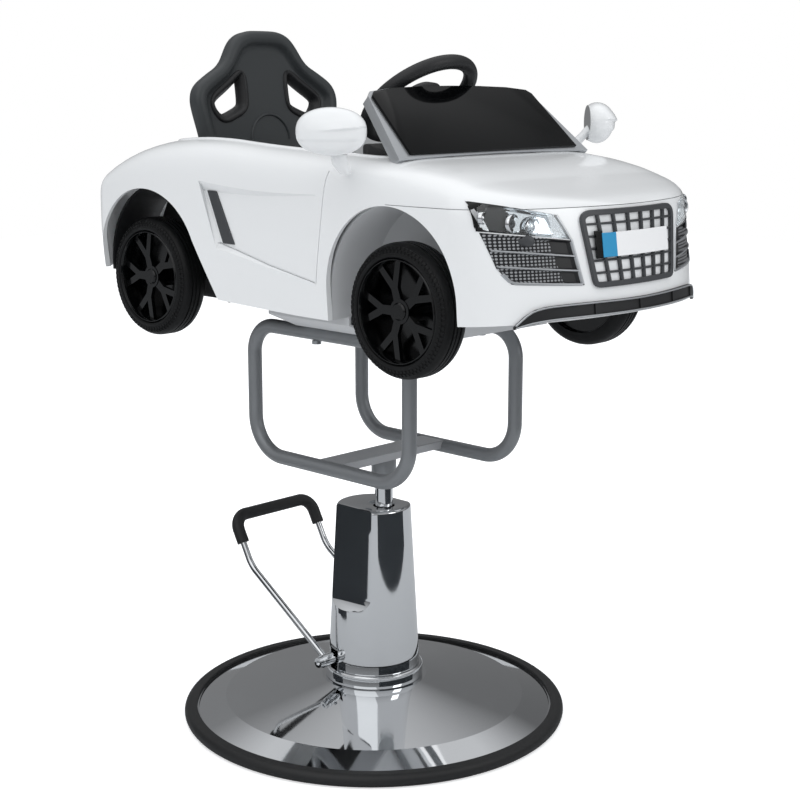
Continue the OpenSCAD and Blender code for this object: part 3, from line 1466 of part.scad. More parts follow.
module tie_rod() {
  eye = 10;
  side = 2;
  pin_drift = 3;
  ball_drift = 6;
  color("#8d9094") difference() {
    union() {
      translate([-kingpin_x, tie_y - tie_w / 2, tie_z - tie_t / 2])
        cube([2 * kingpin_x, tie_w, tie_t]);
      for (x = [-kingpin_x, kingpin_x]) translate([x, tie_y + pin_drift / 2, tie_z - tie_t / 2])
        cylinder(r = eye, h = tie_t);
      translate([-eye - side, tie_y - eye, tie_z - tie_t / 2])
        cube([2 * eye + 2 * side, 2 * eye + ball_drift, tie_t]);
    }
    for (x = [-kingpin_x, kingpin_x]) slot(x, 0, pin_drift, pin_r + slot_slack);
    slot(0, 0, ball_drift, ball_r + 2 * slot_slack);
  }
}

module rear_axle() {
  color("#8d9094") translate([0, rear_axle_y, axle_z]) rotate([0, 90, 0])
    cylinder(r = axle_r, h = 2 * (wheel_face_x - axle_end_in), center = true);
}

// Wheels, drawn with their axis along z and the outer face at z = 0
rim_wall = 5;
dish = 9;
spoke_plate_t = 6;
hub_cap_r = 12;
wheel_hub_r = 17;
wheel_spokes = 5;
fork_share = 0.52;
back_disc_t = 3;
web_in = 8;
web_z = -tyre_w + web_in;
spoke_root = 7;
fork_half_w = 6;
fork_tip = 4;
prong_outer = 24;
prong_inner = 14;
rim_edge = 2;
cap_h = 4;
bore_cover = 11;

module wheel_spoke() {
  reach = rim_r - rim_wall + over;
  mid = fork_share * reach;
  union() {
    polygon([[0, -spoke_root], [mid, -fork_half_w], [mid + fork_tip, 0], [mid, fork_half_w], [0, spoke_root]]);
    for (m = [0, 1]) mirror([0, m]) polygon([[mid - fork_half_w, 0], [mid - fork_tip, fork_half_w],
      [reach, prong_outer], [reach, prong_inner], [mid + fork_half_w, 0]]);
  }
}

module wheel_rim() {
  color("#151517") difference() {
    union() {
      rotate_extrude() polygon([[rim_r - rim_wall, -dish / 2], [rim_r - rim_wall + rim_edge, 0],
        [rim_r - rim_edge, 0], [rim_r - fit_gap, -rim_edge], [rim_r - fit_gap, web_z],
        [rim_r - rim_wall, web_z]]);
      up(web_z) cylinder(r = rim_r - rim_wall + over, h = back_disc_t);
      up(-dish - spoke_plate_t) linear_extrude(spoke_plate_t)
        for (i = [0:wheel_spokes - 1]) rotate(90 + i * 360 / wheel_spokes) wheel_spoke();
      up(web_z) cylinder(r = wheel_hub_r, h = -web_z - dish + rim_edge / 2);
      up(-dish) rotate_extrude() polygon([[0, 0], [hub_cap_r, 0], [hub_cap_r, cap_h / 2],
        [hub_cap_r - cap_h / 2, cap_h], [0, cap_h]]);
    }
    up(-tyre_w - over) cylinder(r = axle_r + run_gap, h = tyre_w + over - bore_cover);
  }
}

tread_round = 9;
groove_w = 3;
groove_d = 2.5;
groove_shares = [-0.36, -0.64];
bead_in = 4;
bead_step = 3;
module wheel_tyre() {
  color("#1a1a1b") rotate_extrude() difference() {
    union() {
      translate([rim_r, -tyre_w + bead_in]) square([tyre_r - tread_round - rim_r, tyre_w - bead_in]);
      translate([rim_r, -tyre_w + tread_round]) square([tyre_r - rim_r, tyre_w - 2 * tread_round]);
      for (z = [-tread_round, -tyre_w + tread_round]) translate([tyre_r - tread_round, z])
        circle(r = tread_round);
    }
    for (q = groove_shares) translate([tyre_r - groove_d, tyre_w * q - groove_w / 2])
      square([2 * groove_d, groove_w]);
    translate([rim_r - over, -over]) square(over + bead_step);
  }
}

module front_wheel_place() {
  translate([-wheel_face_x, -front_axle_y, axle_z]) rotate([0, -90, 0]) children();
}
module rear_wheel_place() {
  translate([-wheel_face_x, rear_axle_y, axle_z]) rotate([0, -90, 0]) children();
}

// Mirrors
mirror_l = 46;
mirror_w = 27;
mirror_h = 31;
mirror_rings = 10;
mirror_sides = 14;
mirror_rise = 18;
mirror_out = 40;
mirror_head_back = 55;
mirror_power = 0.8;
glass_share = 0.55;
stalk_less = 2;
mirror_up = sill_z + mirror_rise;
mirror_head_x = -(car_half_w + mirror_out);
mirror_head_y = -(front_axle_y - mirror_head_back);
mirror_at = [mirror_head_x, mirror_head_y, mirror_up];
mirror_turn = -45;
mirror_flange_h = 8.5;
module mirror_head() {
  color("white") union() {
    difference() {
      translate(mirror_at) rotate(mirror_turn) skin([for (i = [1:mirror_rings - 1])
        let(a = 180 * i / mirror_rings, x = mirror_l * cos(a), r = pow(sin(a), mirror_power))
        [for (j = [0:mirror_sides - 1]) let(b = -360 * j / mirror_sides)
          [x, mirror_w * r * cos(b), mirror_h * r * sin(b)]]]);
      translate(mirror_at) rotate(mirror_turn) translate([-mirror_l, glass_share * mirror_w, -2 * mirror_h])
        cube([2 * mirror_l, mirror_w, 4 * mirror_h]);
    }
    translate([mirror_x, mirror_y, mirror_foot_z + fit_gap]) cylinder(r = mirror_foot_r, h = mirror_flange_h);
    let(p = [mirror_x, mirror_y, mirror_foot_z + mirror_flange_h], d = mirror_at - p, l = norm(d))
      translate(p) rotate([0, acos(d[2] / l), atan2(d[1], d[0])])
        cylinder(r = mirror_foot_r - stalk_less, h = l);
    translate([mirror_x, mirror_y, mirror_foot_z - mirror_pin_l + stalk_less])
      cylinder(r = mirror_pin_r, h = mirror_pin_l);
  }
}

base_disc();
base_ring();
base_plate();
base_bolts();
shroud_ring();
pump_shroud();
pump_body();
rod_gland();
pedal_spring();
piston();
piston_rod();
pump_plunger();
pedal_shaft();
pedal_screws();
pedal_lever();
pedal_grip();
frame_socket();
cross_plate();
frame_loop(-loop_x);  // loop_right
frame_loop(loop_x);  // loop_left
frame_bolts();
body_shell();
front_bumper();
front_chassis();
rear_chassis();
seat();
seat_bolts();
dashboard();
windshield();
windshield_frame();
on_side(-1) side_blade();  // side_blade_right
on_side(1) side_blade();  // side_blade_left
centre_grille();
number_plate();
front_lip();
on_side(-1) side_grille();  // side_grille_right
on_side(1) side_grille();  // side_grille_left
on_side(-1) headlight();  // headlight_right
on_side(1) headlight();  // headlight_left
on_side(-1) headlight_lens();  // headlight_lens_right
on_side(1) headlight_lens();  // headlight_lens_left
tail_lamps();
steering_column();
steering_wheel();
horn_button();
front_axle_beam();
on_side(-1) knuckle();  // knuckle_right
on_side(1) knuckle();  // knuckle_left
tie_rod();
rear_axle();
on_side(-1) mirror_head();  // mirror_right
on_side(1) mirror_head();  // mirror_left
on_side(-1) front_wheel_place() wheel_rim();  // front_rim_right
on_side(1) front_wheel_place() wheel_rim();  // front_rim_left
on_side(-1) rear_wheel_place() wheel_rim();  // rear_rim_right
on_side(1) rear_wheel_place() wheel_rim();  // rear_rim_left
on_side(-1) front_wheel_place() wheel_tyre();  // front_tyre_right
on_side(1) front_wheel_place() wheel_tyre();  // front_tyre_left
on_side(-1) rear_wheel_place() wheel_tyre();  // rear_tyre_right
on_side(1) rear_wheel_place() wheel_tyre();  // rear_tyre_left
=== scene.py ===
"""Children's car-shaped barber chair, dressed for rendering: finishes on the exact
parts, finer pieces for the moulded body, seat, tyres and trim, then light and camera."""
import math

import bpy
from mathutils import Matrix, Vector


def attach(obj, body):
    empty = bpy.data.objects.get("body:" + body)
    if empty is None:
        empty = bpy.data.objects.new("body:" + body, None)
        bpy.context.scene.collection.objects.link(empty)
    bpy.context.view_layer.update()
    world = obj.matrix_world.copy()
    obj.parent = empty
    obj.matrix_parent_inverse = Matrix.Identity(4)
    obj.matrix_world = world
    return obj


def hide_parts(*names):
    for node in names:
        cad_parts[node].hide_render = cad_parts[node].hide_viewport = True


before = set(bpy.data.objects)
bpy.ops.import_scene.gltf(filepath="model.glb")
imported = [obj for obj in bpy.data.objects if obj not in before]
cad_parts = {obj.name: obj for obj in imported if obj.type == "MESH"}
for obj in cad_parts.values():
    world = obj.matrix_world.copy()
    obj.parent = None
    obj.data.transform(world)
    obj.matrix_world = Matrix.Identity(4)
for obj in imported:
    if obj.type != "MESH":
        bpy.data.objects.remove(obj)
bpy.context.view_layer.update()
MM = 0.001


# ---- finishes
def linear(hex_colour):
    """sRGB hex to linear RGBA."""
    out = []
    for i in (0, 2, 4):
        c = int(hex_colour[i:i + 2], 16) / 255
        out.append(c / 12.92 if c <= 0.04045 else ((c + 0.055) / 1.055) ** 2.4)
    return (*out, 1.0)


def cleared(mat):
    """Gives a material or world an empty node tree."""
    mat.use_nodes = True
    mat.node_tree.nodes.clear()
    return mat


def node(mat, kind, settings=None, links=None):
    """Adds a node, sets its properties and sockets, and links its inputs."""
    n = mat.node_tree.nodes.new(kind)
    for key, value in (settings or {}).items():
        if isinstance(key, int) or key in n.inputs:
            n.inputs[key].default_value = value
        else:
            setattr(n, key, value)
    for key, source in (links or {}).items():
        mat.node_tree.links.new(source, n.inputs[key])
    return n


def finish(name, settings):
    """A material with one shader of constant settings. The callers put patterns on
    its colour, roughness and normal with node()."""
    mat = cleared(bpy.data.materials.new(name))
    shader = node(mat, "ShaderNodeBsdfPrincipled", settings)
    node(mat, "ShaderNodeOutputMaterial", {}, {0: shader.outputs[0]})
    where = node(mat, "ShaderNodeTexCoord").outputs["Object"]
    return mat, shader, where


def maths(mat, operation, *terms):
    """A math node over numbers and other nodes' outputs. Gives its output."""
    numbers = {i: t for i, t in enumerate(terms) if isinstance(t, float)}
    sources = {i: t for i, t in enumerate(terms) if i not in numbers}
    return node(mat, "ShaderNodeMath", {"operation": operation, **numbers}, sources).outputs[0]


def noise(mat, where, **settings):
    return node(mat, "ShaderNodeTexNoise", settings, {"Vector": where}).outputs["Fac"]


def patterned(mat, shader, colour, darker, drift, gloss, height, depth_mm):
    """Puts a drift of shade and gloss and a bump on a shader."""
    base = linear(colour)
    dark = tuple(c * darker for c in base[:3]) + (1.0,)
    tone = node(mat, "ShaderNodeMix", {"data_type": "RGBA", 6: dark, 7: base}, {0: drift})
    sheen = node(mat, "ShaderNodeMapRange", gloss, {"Value": drift})
    bump = node(mat, "ShaderNodeBump", {"Distance": depth_mm * MM}, {"Height": height})
    for socket, source in (("Base Color", tone.outputs[2]), ("Roughness", sheen.outputs["Result"]),
                           ("Normal", bump.outputs["Normal"])):
        mat.node_tree.links.new(source, shader.inputs[socket])
    return mat


def moulded(name, colour, rough, grain_mm, depth_mm, shade=0.06, swing=0.06, **settings):
    """Moulded or coated stock: a fine grain in the bump, and slow drifts of shade
    and gloss from the tool, the cooling and handling."""
    mat, shader, where = finish(name, settings)
    grain = noise(mat, where, Scale=1 / (grain_mm * MM), Detail=4.0, Roughness=0.6)
    drift = noise(mat, where, Scale=9.0, Detail=3.0)
    gloss = {"To Min": max(rough - swing, 0.02), "To Max": rough + swing}
    return patterned(mat, shader, colour, 1 - shade, drift, gloss, grain, depth_mm)


def metal(name, colour, rough, line_mm, depth_mm, stretch=(1, 1, 1), smear=0.05):
    """Bare or plated metal: lines or mottle from its making, and smears of
    handling that change its gloss a little."""
    mat, shader, where = finish(name, {"Metallic": 1.0})
    turned = node(mat, "ShaderNodeMapping", {"Scale": stretch}, {"Vector": where}).outputs[0]
    lines = noise(mat, turned, Scale=1 / (line_mm * MM), Detail=5.0)
    smears = noise(mat, where, Scale=14.0, Detail=4.0, Distortion=0.4)
    gloss = {"From Min": 0.3, "From Max": 0.7, "To Min": max(rough - smear, 0.02),
             "To Max": rough + smear}
    return patterned(mat, shader, colour, 0.93, smears, gloss, lines, depth_mm)


def lens(name, colour, rough, ior, through, ripple_mm):
    """Moulded lamp cover, clear or dyed, with a trace of moulding ripple."""
    mat, shader, where = finish(name, {"Base Color": linear(colour), "IOR": ior,
                                       "Transmission Weight": through, "Roughness": rough})
    ripple = noise(mat, where, Scale=60.0, Detail=2.0)
    bump = node(mat, "ShaderNodeBump", {"Distance": ripple_mm * MM}, {"Height": ripple})
    mat.node_tree.links.new(bump.outputs["Normal"], shader.inputs["Normal"])
    return mat


# Polished chrome plate: a mirror, with a trace of buffing marks.
chrome = metal("polished_chrome_plate", "DCDEE0", 0.05, 2.5, 0.002, smear=0.025)
# Zinc plated fasteners and links: satin, with short drawing lines.
zinc = metal("zinc_plated_steel", "B4B7BA", 0.34, 0.9, 0.02, (1, 1, 0.2))
# Turned brass gland: fine turning rings.
brass = metal("turned_brass", "C8A050", 0.25, 0.6, 0.02, (1, 1, 6))
# Primed steel floor plate: dull, slightly mottled.
primed = moulded("primed_steel_plate", "3B3D40", 0.62, 1.6, 0.05, 0.15)
# Painted iron casting of the pump: sand-cast skin under paint.
cast = moulded("painted_iron_casting", "4A4D50", 0.55, 1.4, 0.12, 0.15)
# Powder coated tube: satin grey with a fine orange peel of about 1.8 mm.
coated = moulded("grey_powder_coat", "84878A", 0.36, 1.8, 0.02, 0.08, 0.05, Metallic=0.35)
# Plate between the tubes: the same coat, paler.
coated_pale = moulded("pale_grey_powder_coat", "A2A4A7", 0.42, 1.8, 0.02, 0.06, 0.05, Metallic=0.2)
# Moulded gloss body: white ABS under lacquer, very slight flow waviness.
white_gloss = moulded("white_gloss_abs", "EEF0F1", 0.2, 14.0, 0.03, 0.015, 0.03,
                      **{"Coat Weight": 0.35, "Coat Roughness": 0.08})
# Grained grey tray: polypropylene with a spark-eroded grain of about 0.8 mm.
grey_grain = moulded("grained_grey_polypropylene", "C4C6C8", 0.55, 0.8, 0.05, 0.05)
# Grained black mouldings: the same grain on black stock.
black_grain = moulded("grained_black_polypropylene", "1B1C1E", 0.48, 0.8, 0.05, 0.12)
# Seat: charcoal moulding with a leather-like grain of about 1.2 mm.
seat_grain = moulded("leather_grained_charcoal_moulding", "34383A", 0.46, 1.2, 0.06, 0.08)
# Windshield: high gloss black panel.
black_gloss = moulded("high_gloss_black_acrylic", "060708", 0.07, 22.0, 0.01, 0.1, 0.02,
                      **{"Specular IOR Level": 0.15})
# Silver paint on plastic: fine metal flake, satin.
silver = moulded("silver_flake_paint", "BFC2C5", 0.3, 0.5, 0.015, 0.05, 0.05, Metallic=0.7)
# Vacuum metallised plastic inside the lamps.
metallised = metal("vacuum_metallised_plastic", "E6E8EA", 0.1, 3.0, 0.02)
# Dark grey satin trim.
trim_grey = moulded("dark_grey_satin_moulding", "3E4043", 0.42, 0.7, 0.03, 0.08)
# Tyres: hard black moulding with a dry, slightly dusty look.
tyre_black = moulded("moulded_black_tyre", "111213", 0.5, 0.7, 0.05, 0.15, 0.08,
                     **{"Specular IOR Level": 0.25})
# Rims: glossy black moulding.
rim_black = moulded("gloss_black_rim_moulding", "060708", 0.15, 5.0, 0.02, 0.1, 0.04,
                    **{"Specular IOR Level": 0.4})
# Rubber: ring round the base and the foot grip.
rubber = moulded("black_rubber", "1A1B1C", 0.55, 1.0, 0.04, 0.12, 0.08)
# White enamelled plate with a plain blue band.
plate_white = moulded("white_enamelled_plate", "F2F3F4", 0.25, 8.0, 0.01, 0.02)
plate_band = moulded("blue_enamelled_band", "2C93C4", 0.28, 8.0, 0.01, 0.05)
# Polycarbonate lamp cover and acrylic tail lens.
lens_clear = lens("clear_polycarbonate_lens", "F4F8FA", 0.02, 1.585, 1.0, 0.02)
lens_red = lens("red_acrylic_lens", "C01820", 0.08, 1.49, 0.35, 0.1)

# Side grille moulding: staggered pale dots about 5 mm apart on black, outboard of
# a slanting edge, and plain black inboard of it.
DOT_X, DOT_Z = 5.0 * MM, 4.2 * MM
DOT_SLANT, DOT_EDGE = -0.32, 0.1125
dot_mesh, dot_shader, dot_where = finish("moulded_dot_grille", {"Roughness": 0.35})
dot_at = node(dot_mesh, "ShaderNodeSeparateXYZ", {}, {"Vector": dot_where}).outputs
dot_side = maths(dot_mesh, "ABSOLUTE", dot_at["X"])
dot_waves = [maths(dot_mesh, "SINE", maths(dot_mesh, "MULTIPLY", way, math.pi / pitch))
             for way, pitch in ((dot_side, DOT_X), (dot_at["Z"], DOT_Z))]
dot_size = maths(dot_mesh, "ABSOLUTE", maths(dot_mesh, "MULTIPLY", *dot_waves))
dot_off = maths(dot_mesh, "ADD", dot_side,
                maths(dot_mesh, "MULTIPLY_ADD", dot_at["Z"], DOT_SLANT, DOT_EDGE))
dot_shown = maths(dot_mesh, "MULTIPLY", dot_size, maths(dot_mesh, "GREATER_THAN", dot_off, 0.0))
dot_mask = node(dot_mesh, "ShaderNodeMapRange", {"From Min": 0.42, "From Max": 0.62},
                {"Value": dot_shown}).outputs["Result"]
dot_tone = node(dot_mesh, "ShaderNodeMix", {"data_type": "RGBA", 6: linear("1C1D1F"),
                                            7: linear("9EA0A3")}, {0: dot_mask})
dot_bump = node(dot_mesh, "ShaderNodeBump", {"Distance": 1.5 * MM, "Strength": 0.8},
                {"Height": dot_mask})
dot_mesh.node_tree.links.new(dot_tone.outputs[2], dot_shader.inputs["Base Color"])
dot_mesh.node_tree.links.new(dot_bump.outputs["Normal"], dot_shader.inputs["Normal"])


def painted(piece, *materials):
    piece.data.materials.clear()
    for material in materials:
        piece.data.materials.append(material)
    return piece


NODE_FINISH = (
    (chrome, "base_disc shroud_ring pump_shroud piston_rod pedal_shaft pedal_lever"),
    (rubber, "base_ring pedal_grip"),
    (primed, "base_plate"),
    (cast, "pump_body"),
    (zinc, "base_bolts pedal_spring piston pump_plunger pedal_screws frame_bolts seat_bolts "
           "steering_column knuckle_right knuckle_left tie_rod rear_axle"),
    (brass, "rod_gland"),
    (coated, "frame_socket loop_right loop_left front_axle_beam"),
    (coated_pale, "cross_plate"),
    (white_gloss, "body_shell front_bumper mirror_right mirror_left"),
    (grey_grain, "front_chassis"),
    (black_grain, "rear_chassis dashboard steering_wheel front_lip"),
    (seat_grain, "seat"),
    (black_gloss, "windshield"),
    (silver, "windshield_frame headlight_right headlight_left"),
    (trim_grey, "side_blade_right side_blade_left horn_button centre_grille"),
    (dot_mesh, "side_grille_right side_grille_left"),
    (lens_clear, "headlight_lens_right headlight_lens_left"),
    (lens_red, "tail_lamps"),
    (plate_white, "number_plate"),
    (rim_black, "front_rim_right front_rim_left rear_rim_right rear_rim_left"),
    (tyre_black, "front_tyre_right front_tyre_left rear_tyre_right rear_tyre_left"),
)
for material, names in NODE_FINISH:
    for name in names.split():
        painted(bpy.data.objects[name], material)


def modifier(piece, name, kind, **settings):
    """Adds a modifier with its settings."""
    step = piece.modifiers.new(name, kind)
    for key, value in settings.items():
        setattr(step, key, value)


# Widths in mm of the rounding on sharp edges
EDGES = ((1.2, "dashboard"), (1.0, "cross_plate front_axle_beam steering_wheel"),
         (0.8, "windshield windshield_frame frame_socket base_disc horn_button tail_lamps "
               "front_chassis rear_chassis"),
         (0.6, "pump_shroud shroud_ring centre_grille"), (0.3, "number_plate"))
EDGE_MM = {name: width for width, names in EDGES for name in names.split()}
SHARP, CRISP = math.radians(32), math.radians(5)
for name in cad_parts:
    part = bpy.data.objects[name]
    part.data.polygons.foreach_set("use_smooth", [True] * len(part.data.polygons))
    modifier(part, "weld", "WELD", merge_threshold=0.01 * MM)
    if name in EDGE_MM:
        modifier(part, "edge", "BEVEL", width=EDGE_MM[name] * MM, segments=2, limit_method="ANGLE",
                 angle_limit=SHARP)
    # The disc's outer band stays crisp against its flat cone
    modifier(part, "split", "EDGE_SPLIT", split_angle=CRISP if name == "base_disc" else SHARP)


# ---- modelling tools
def lone(name):
    """Names the piece just added."""
    piece = bpy.context.object
    piece.name = piece.data.name = name
    return piece


def pick(piece):
    """Selects one piece alone and makes it the active one."""
    bpy.ops.object.select_all(action="DESELECT")
    piece.select_set(True)
    bpy.context.view_layer.objects.active = piece


def open_mesh():
    """Enters edit mode with everything selected."""
    bpy.ops.object.mode_set(mode="EDIT")
    bpy.ops.mesh.select_all(action="SELECT")


def close_mesh():
    """Turns all faces outwards, and leaves edit mode."""
    bpy.ops.mesh.select_all(action="SELECT")
    bpy.ops.mesh.normals_make_consistent(inside=False)
    bpy.ops.object.mode_set(mode="OBJECT")


def full_turn(steps):
    """Even angles of a full turn."""
    return [2 * math.pi * k / steps for k in range(steps)]


def between(p, q, share):
    """A point on the way from p to q."""
    return (p[0] + (q[0] - p[0]) * share, p[1] + (q[1] - p[1]) * share)


def laid_grid(name, rows, capped=False, closed=True):
    """A grid laid over rows of points in mm. Closed rows meet end to end, and
    capped ones get a face at either end."""
    bpy.ops.object.select_all(action="DESELECT")
    across = len(rows[0]) + (1 if closed else 0)
    bpy.ops.mesh.primitive_grid_add(x_subdivisions=across - 1, y_subdivisions=len(rows) - 1, size=1)
    piece = lone(name)
    points = []
    for row in rows:
        for p in list(row) + ([row[0]] if closed else []):
            points += [p[0] * MM, p[1] * MM, p[2] * MM]
    piece.data.vertices.foreach_set("co", points)
    open_mesh()
    bpy.ops.mesh.remove_doubles(threshold=0.002 * MM)
    if capped:
        bpy.ops.mesh.fill_holes(sides=0)
    close_mesh()
    return piece


def prism(name, outline, lift):
    """A filled ring with its corners at an outline in mm, extruded by a vector."""
    bpy.ops.object.select_all(action="DESELECT")
    bpy.ops.mesh.primitive_circle_add(vertices=len(outline), fill_type="NGON")
    piece = lone(name)
    for v, p in zip(piece.data.vertices, outline):
        v.co = Vector(p) * MM
    open_mesh()
    bpy.ops.mesh.extrude_region_move(TRANSFORM_OT_translate={"value": Vector(lift) * MM})
    close_mesh()
    return piece


def copied(piece, name, across=False):
    """A copy with its own mesh, or its mirror image in the middle plane."""
    pick(piece)
    bpy.ops.object.duplicate()
    twin = lone(name)
    if across:
        open_mesh()
        bpy.ops.transform.mirror(constraint_axis=(True, False, False), center_override=(0, 0, 0),
                                 orient_type="GLOBAL")
        bpy.ops.mesh.flip_normals()
        bpy.ops.object.mode_set(mode="OBJECT")
    return twin


def reshaped(piece, kind, **settings):
    """Adds a modifier to a piece and applies it."""
    modifier(piece, "step", kind, **settings)
    pick(piece)
    bpy.ops.object.modifier_apply(modifier="step")


def carve(piece, tool, operation="DIFFERENCE"):
    """Cuts a piece with a tool, or keeps what they share, and drops the tool."""
    reshaped(piece, "BOOLEAN", object=tool, operation=operation, solver="EXACT")
    bpy.data.objects.remove(tool)
    return piece


def merged(pieces, name):
    """Joins loose pieces into one."""
    bpy.ops.object.select_all(action="DESELECT")
    for piece in pieces:
        piece.select_set(True)
    bpy.context.view_layer.objects.active = pieces[0]
    bpy.ops.object.join()
    return lone(name)


def soft_shaded(piece, degrees):
    pick(piece)
    bpy.ops.object.shade_smooth_by_angle(angle=math.radians(degrees))


def dressed(piece, material, body, slot, *nodes, soft=35):
    """Gives a piece its finish, the body it moves with and what it stands for, and
    smooth shading up to an angle."""
    soft_shaded(piece, soft)
    if material:
        painted(piece, material)
    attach(piece, body)
    if nodes:
        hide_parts(*nodes)
    return piece


def rod_along(name, path, radius, sides, closed=False, up=(0, 0, 1)):
    """A round bead along a path of points in mm."""
    rows = []
    count = len(path)
    for i, p in enumerate(path):
        a = path[(i - 1) % count if closed else max(i - 1, 0)]
        b = path[(i + 1) % count if closed else min(i + 1, count - 1)]
        ahead = (Vector(b) - Vector(a)).normalized()
        side = ahead.cross(Vector(up)).normalized()
        over = side.cross(ahead).normalized()
        rows.append([Vector(p) + radius * (math.cos(t) * side + math.sin(t) * over)
                     for t in full_turn(sides)])
    if closed:
        rows.append(rows[0])
    return laid_grid(name, rows, capped=not closed)


# ---- body
NOSE_Y, CAR_L, HALF_W, ROCKER_Z, BODY_H = -500.0, 930.0, 241.0, 674.0, 241.0
NOSE_SHARE, TAIL_SHARE, BELT_SHARE, FOOT_TUCK, CORNER = 0.128, 0.925, 0.46, 5.0, 7.0
WIDTHS = [(0.128, 0.988), (0.215, 1), (0.290, 0.996), (0.409, 0.967), (0.538, 0.950),
          (0.645, 0.959), (0.731, 0.983), (0.835, 1), (0.925, 0.988)]
TOPS = [(0, 0.690), (0.0215, 0.728), (0.0645, 0.772), (0.1075, 0.813), (0.154, 0.856),
        (0.215, 0.893), (0.28, 0.921), (0.387, 0.944), (0.538, 0.971), (0.667, 1), (0.753, 0.992),
        (0.823, 0.955), (0.892, 0.868), (0.946, 0.745), (0.984, 0.590), (1, 0.440)]
FEET = [(0, 0.108), (0.098, 0.083), (0.215, 0.05), (0.382, 0), (0.639, 0.02),
        (0.753, 0.066), (0.933, 0.129), (1, 0.158)]
NOSE_FOOT = 0.108
LEAN, LEAN_Z, LEAN_H = 20.0, ROCKER_Z + NOSE_FOOT * BODY_H, 0.622 * BODY_H
BELT_Z = ROCKER_Z + BELT_SHARE * BODY_H


def clamp(x, a, b):
    return min(max(x, a), b)


def curve_at(table, x):
    """Smooth curve through a table of pairs."""
    i = 0
    while i < len(table) - 2 and x >= table[i + 1][0]:
        i += 1

    def slope(k):
        a, b = table[max(k - 1, 0)], table[min(k + 1, len(table) - 1)]
        return (b[1] - a[1]) / (b[0] - a[0])

    h = table[i + 1][0] - table[i][0]
    u = (x - table[i][0]) / h
    return ((2 * u ** 3 - 3 * u ** 2 + 1) * table[i][1] + (u ** 3 - 2 * u ** 2 + u) * h * slope(i)
            + (3 * u ** 2 - 2 * u ** 3) * table[i + 1][1] + (u ** 3 - u ** 2) * h * slope(i + 1))


def share_z(h):
    """Height of a share of the body's height."""
    return ROCKER_Z + BODY_H * h


def half_w(s):
    return (HALF_W * curve_at(WIDTHS, clamp(s, NOSE_SHARE, TAIL_SHARE))
            * math.sqrt(1 - clamp((NOSE_SHARE - s) / NOSE_SHARE, 0, 1) ** 2)
            * math.sqrt(1 - clamp((s - TAIL_SHARE) / (1 - TAIL_SHARE), 0, 1) ** 2))


def top_z(s):
    return share_z(curve_at(TOPS, s))


def foot_z(s):
    return share_z(curve_at(FEET, s))


def lean_y(s, z):
    return LEAN * clamp((0.215 - s) / 0.107, 0, 1) * (z - LEAN_Z) / LEAN_H


def skin_z(x, y):
    """Height of the body's top over a point of the plan."""
    s = (y - NOSE_Y) / CAR_L
    rise = (1 - min(abs(x) / half_w(s), 0.999) ** CORNER) ** (1 / CORNER)
    return BELT_Z + (top_z(s) - BELT_Z) * rise


# Steps round a section: degrees over its top, and shares down its side
TURNS = [0, 8, 16, 23, 28, 32, 34.5, 37, 39, 41, 43, 45, 47, 49, 51, 53, 55.5, 58, 61, 65,
         70, 75, 80, 85, 90]
SIDES = [0.12, 0.25, 0.38, 0.5, 0.62, 0.74, 0.87, 1.0]


def body_row(s, deep, drop):
    """One section of the body, from its left foot over the top to its right foot."""
    # Close to the tail the top would fall below the belt: it stays just over it
    w, zf = half_w(s) - deep, foot_z(s) + deep
    zt = max(top_z(s) - deep, BELT_Z + 1.0)
    half = []
    if drop:
        half.append((w - FOOT_TUCK, zf - drop))
    half += [(w - FOOT_TUCK * q * q, BELT_Z + (zf - BELT_Z) * q) for q in reversed(SIDES)]
    for turn in reversed(TURNS):
        a = math.radians(turn)
        r = (math.sin(a) ** CORNER + math.cos(a) ** CORNER) ** (-1 / CORNER)
        half.append((w * r * math.sin(a), BELT_Z + (zt - BELT_Z) * r * math.cos(a)))
    mid = CAR_L / 2
    y = NOSE_Y + mid + (s * CAR_L - mid) * (mid - deep) / mid
    row = [(-x, y + lean_y(s, z), z) for x, z in half]
    return row + [(x, y + lean_y(s, z), z) for x, z in reversed(half[:-1])]


def body_loft(name, deep, drop=0.0, fine=1):
    """The whole body at a depth under its surface; fine is how coarse its steps are."""
    turns = [math.radians(a) for a in range(3, 90, 3 * fine)]
    steps = 60 // fine
    shares = [NOSE_SHARE * (1 - math.cos(a)) for a in turns]
    shares += [NOSE_SHARE + (TAIL_SHARE - NOSE_SHARE) * i / steps for i in range(steps + 1)]
    shares += [TAIL_SHARE + (1 - TAIL_SHARE) * math.cos(math.radians(a))
               for a in range(87, 2, -3 * fine)]
    return laid_grid(name, [body_row(s, deep(s), drop) for s in shares], capped=True)


# The door's recess: its outline in shares of the length and height, its depth at the
# back and the part of it at the front, and the shares of the length it is cut over
DOOR = [(0.676, 0.735), (0.405, 0.700), (0.409, 0.21), (0.52, 0.25), (0.637, 0.335)]
DOOR_DEPTH, DOOR_FRONT = 10.5, 0.1
DOOR_START, DOOR_L = 0.405, 0.271
DOOR_CUT = [0.30 + 0.45 * i / 40 for i in range(41)]
# Its block has rings at these x; from the middle one its foot rises and its top falls
# by these parts of the way in
DOOR_X, DOOR_MID, FOOT_RISE, TOP_FALL = (214, 231, 246), 231, 0.9, -1.4
# Grooves: depth, x that their cutters start at and how far these reach, and the lines of
# the door's front and lower edge in y and z
GROOVE, GROOVE_X, GROOVE_REACH = 2.2, 190, 60
FRONT_GROOVE = [(-146.7, 878), (-145.3, 878), (-121.3, 722), (-122.7, 722)]
LOW_EDGE, LOW_WIDTH = [(94.5, 764.5), (-16.4, 740.9), (-120.5, 725.0)], 1.7
LOW_GROOVE = LOW_EDGE + [(y, z - LOW_WIDTH) for y, z in reversed(LOW_EDGE)]


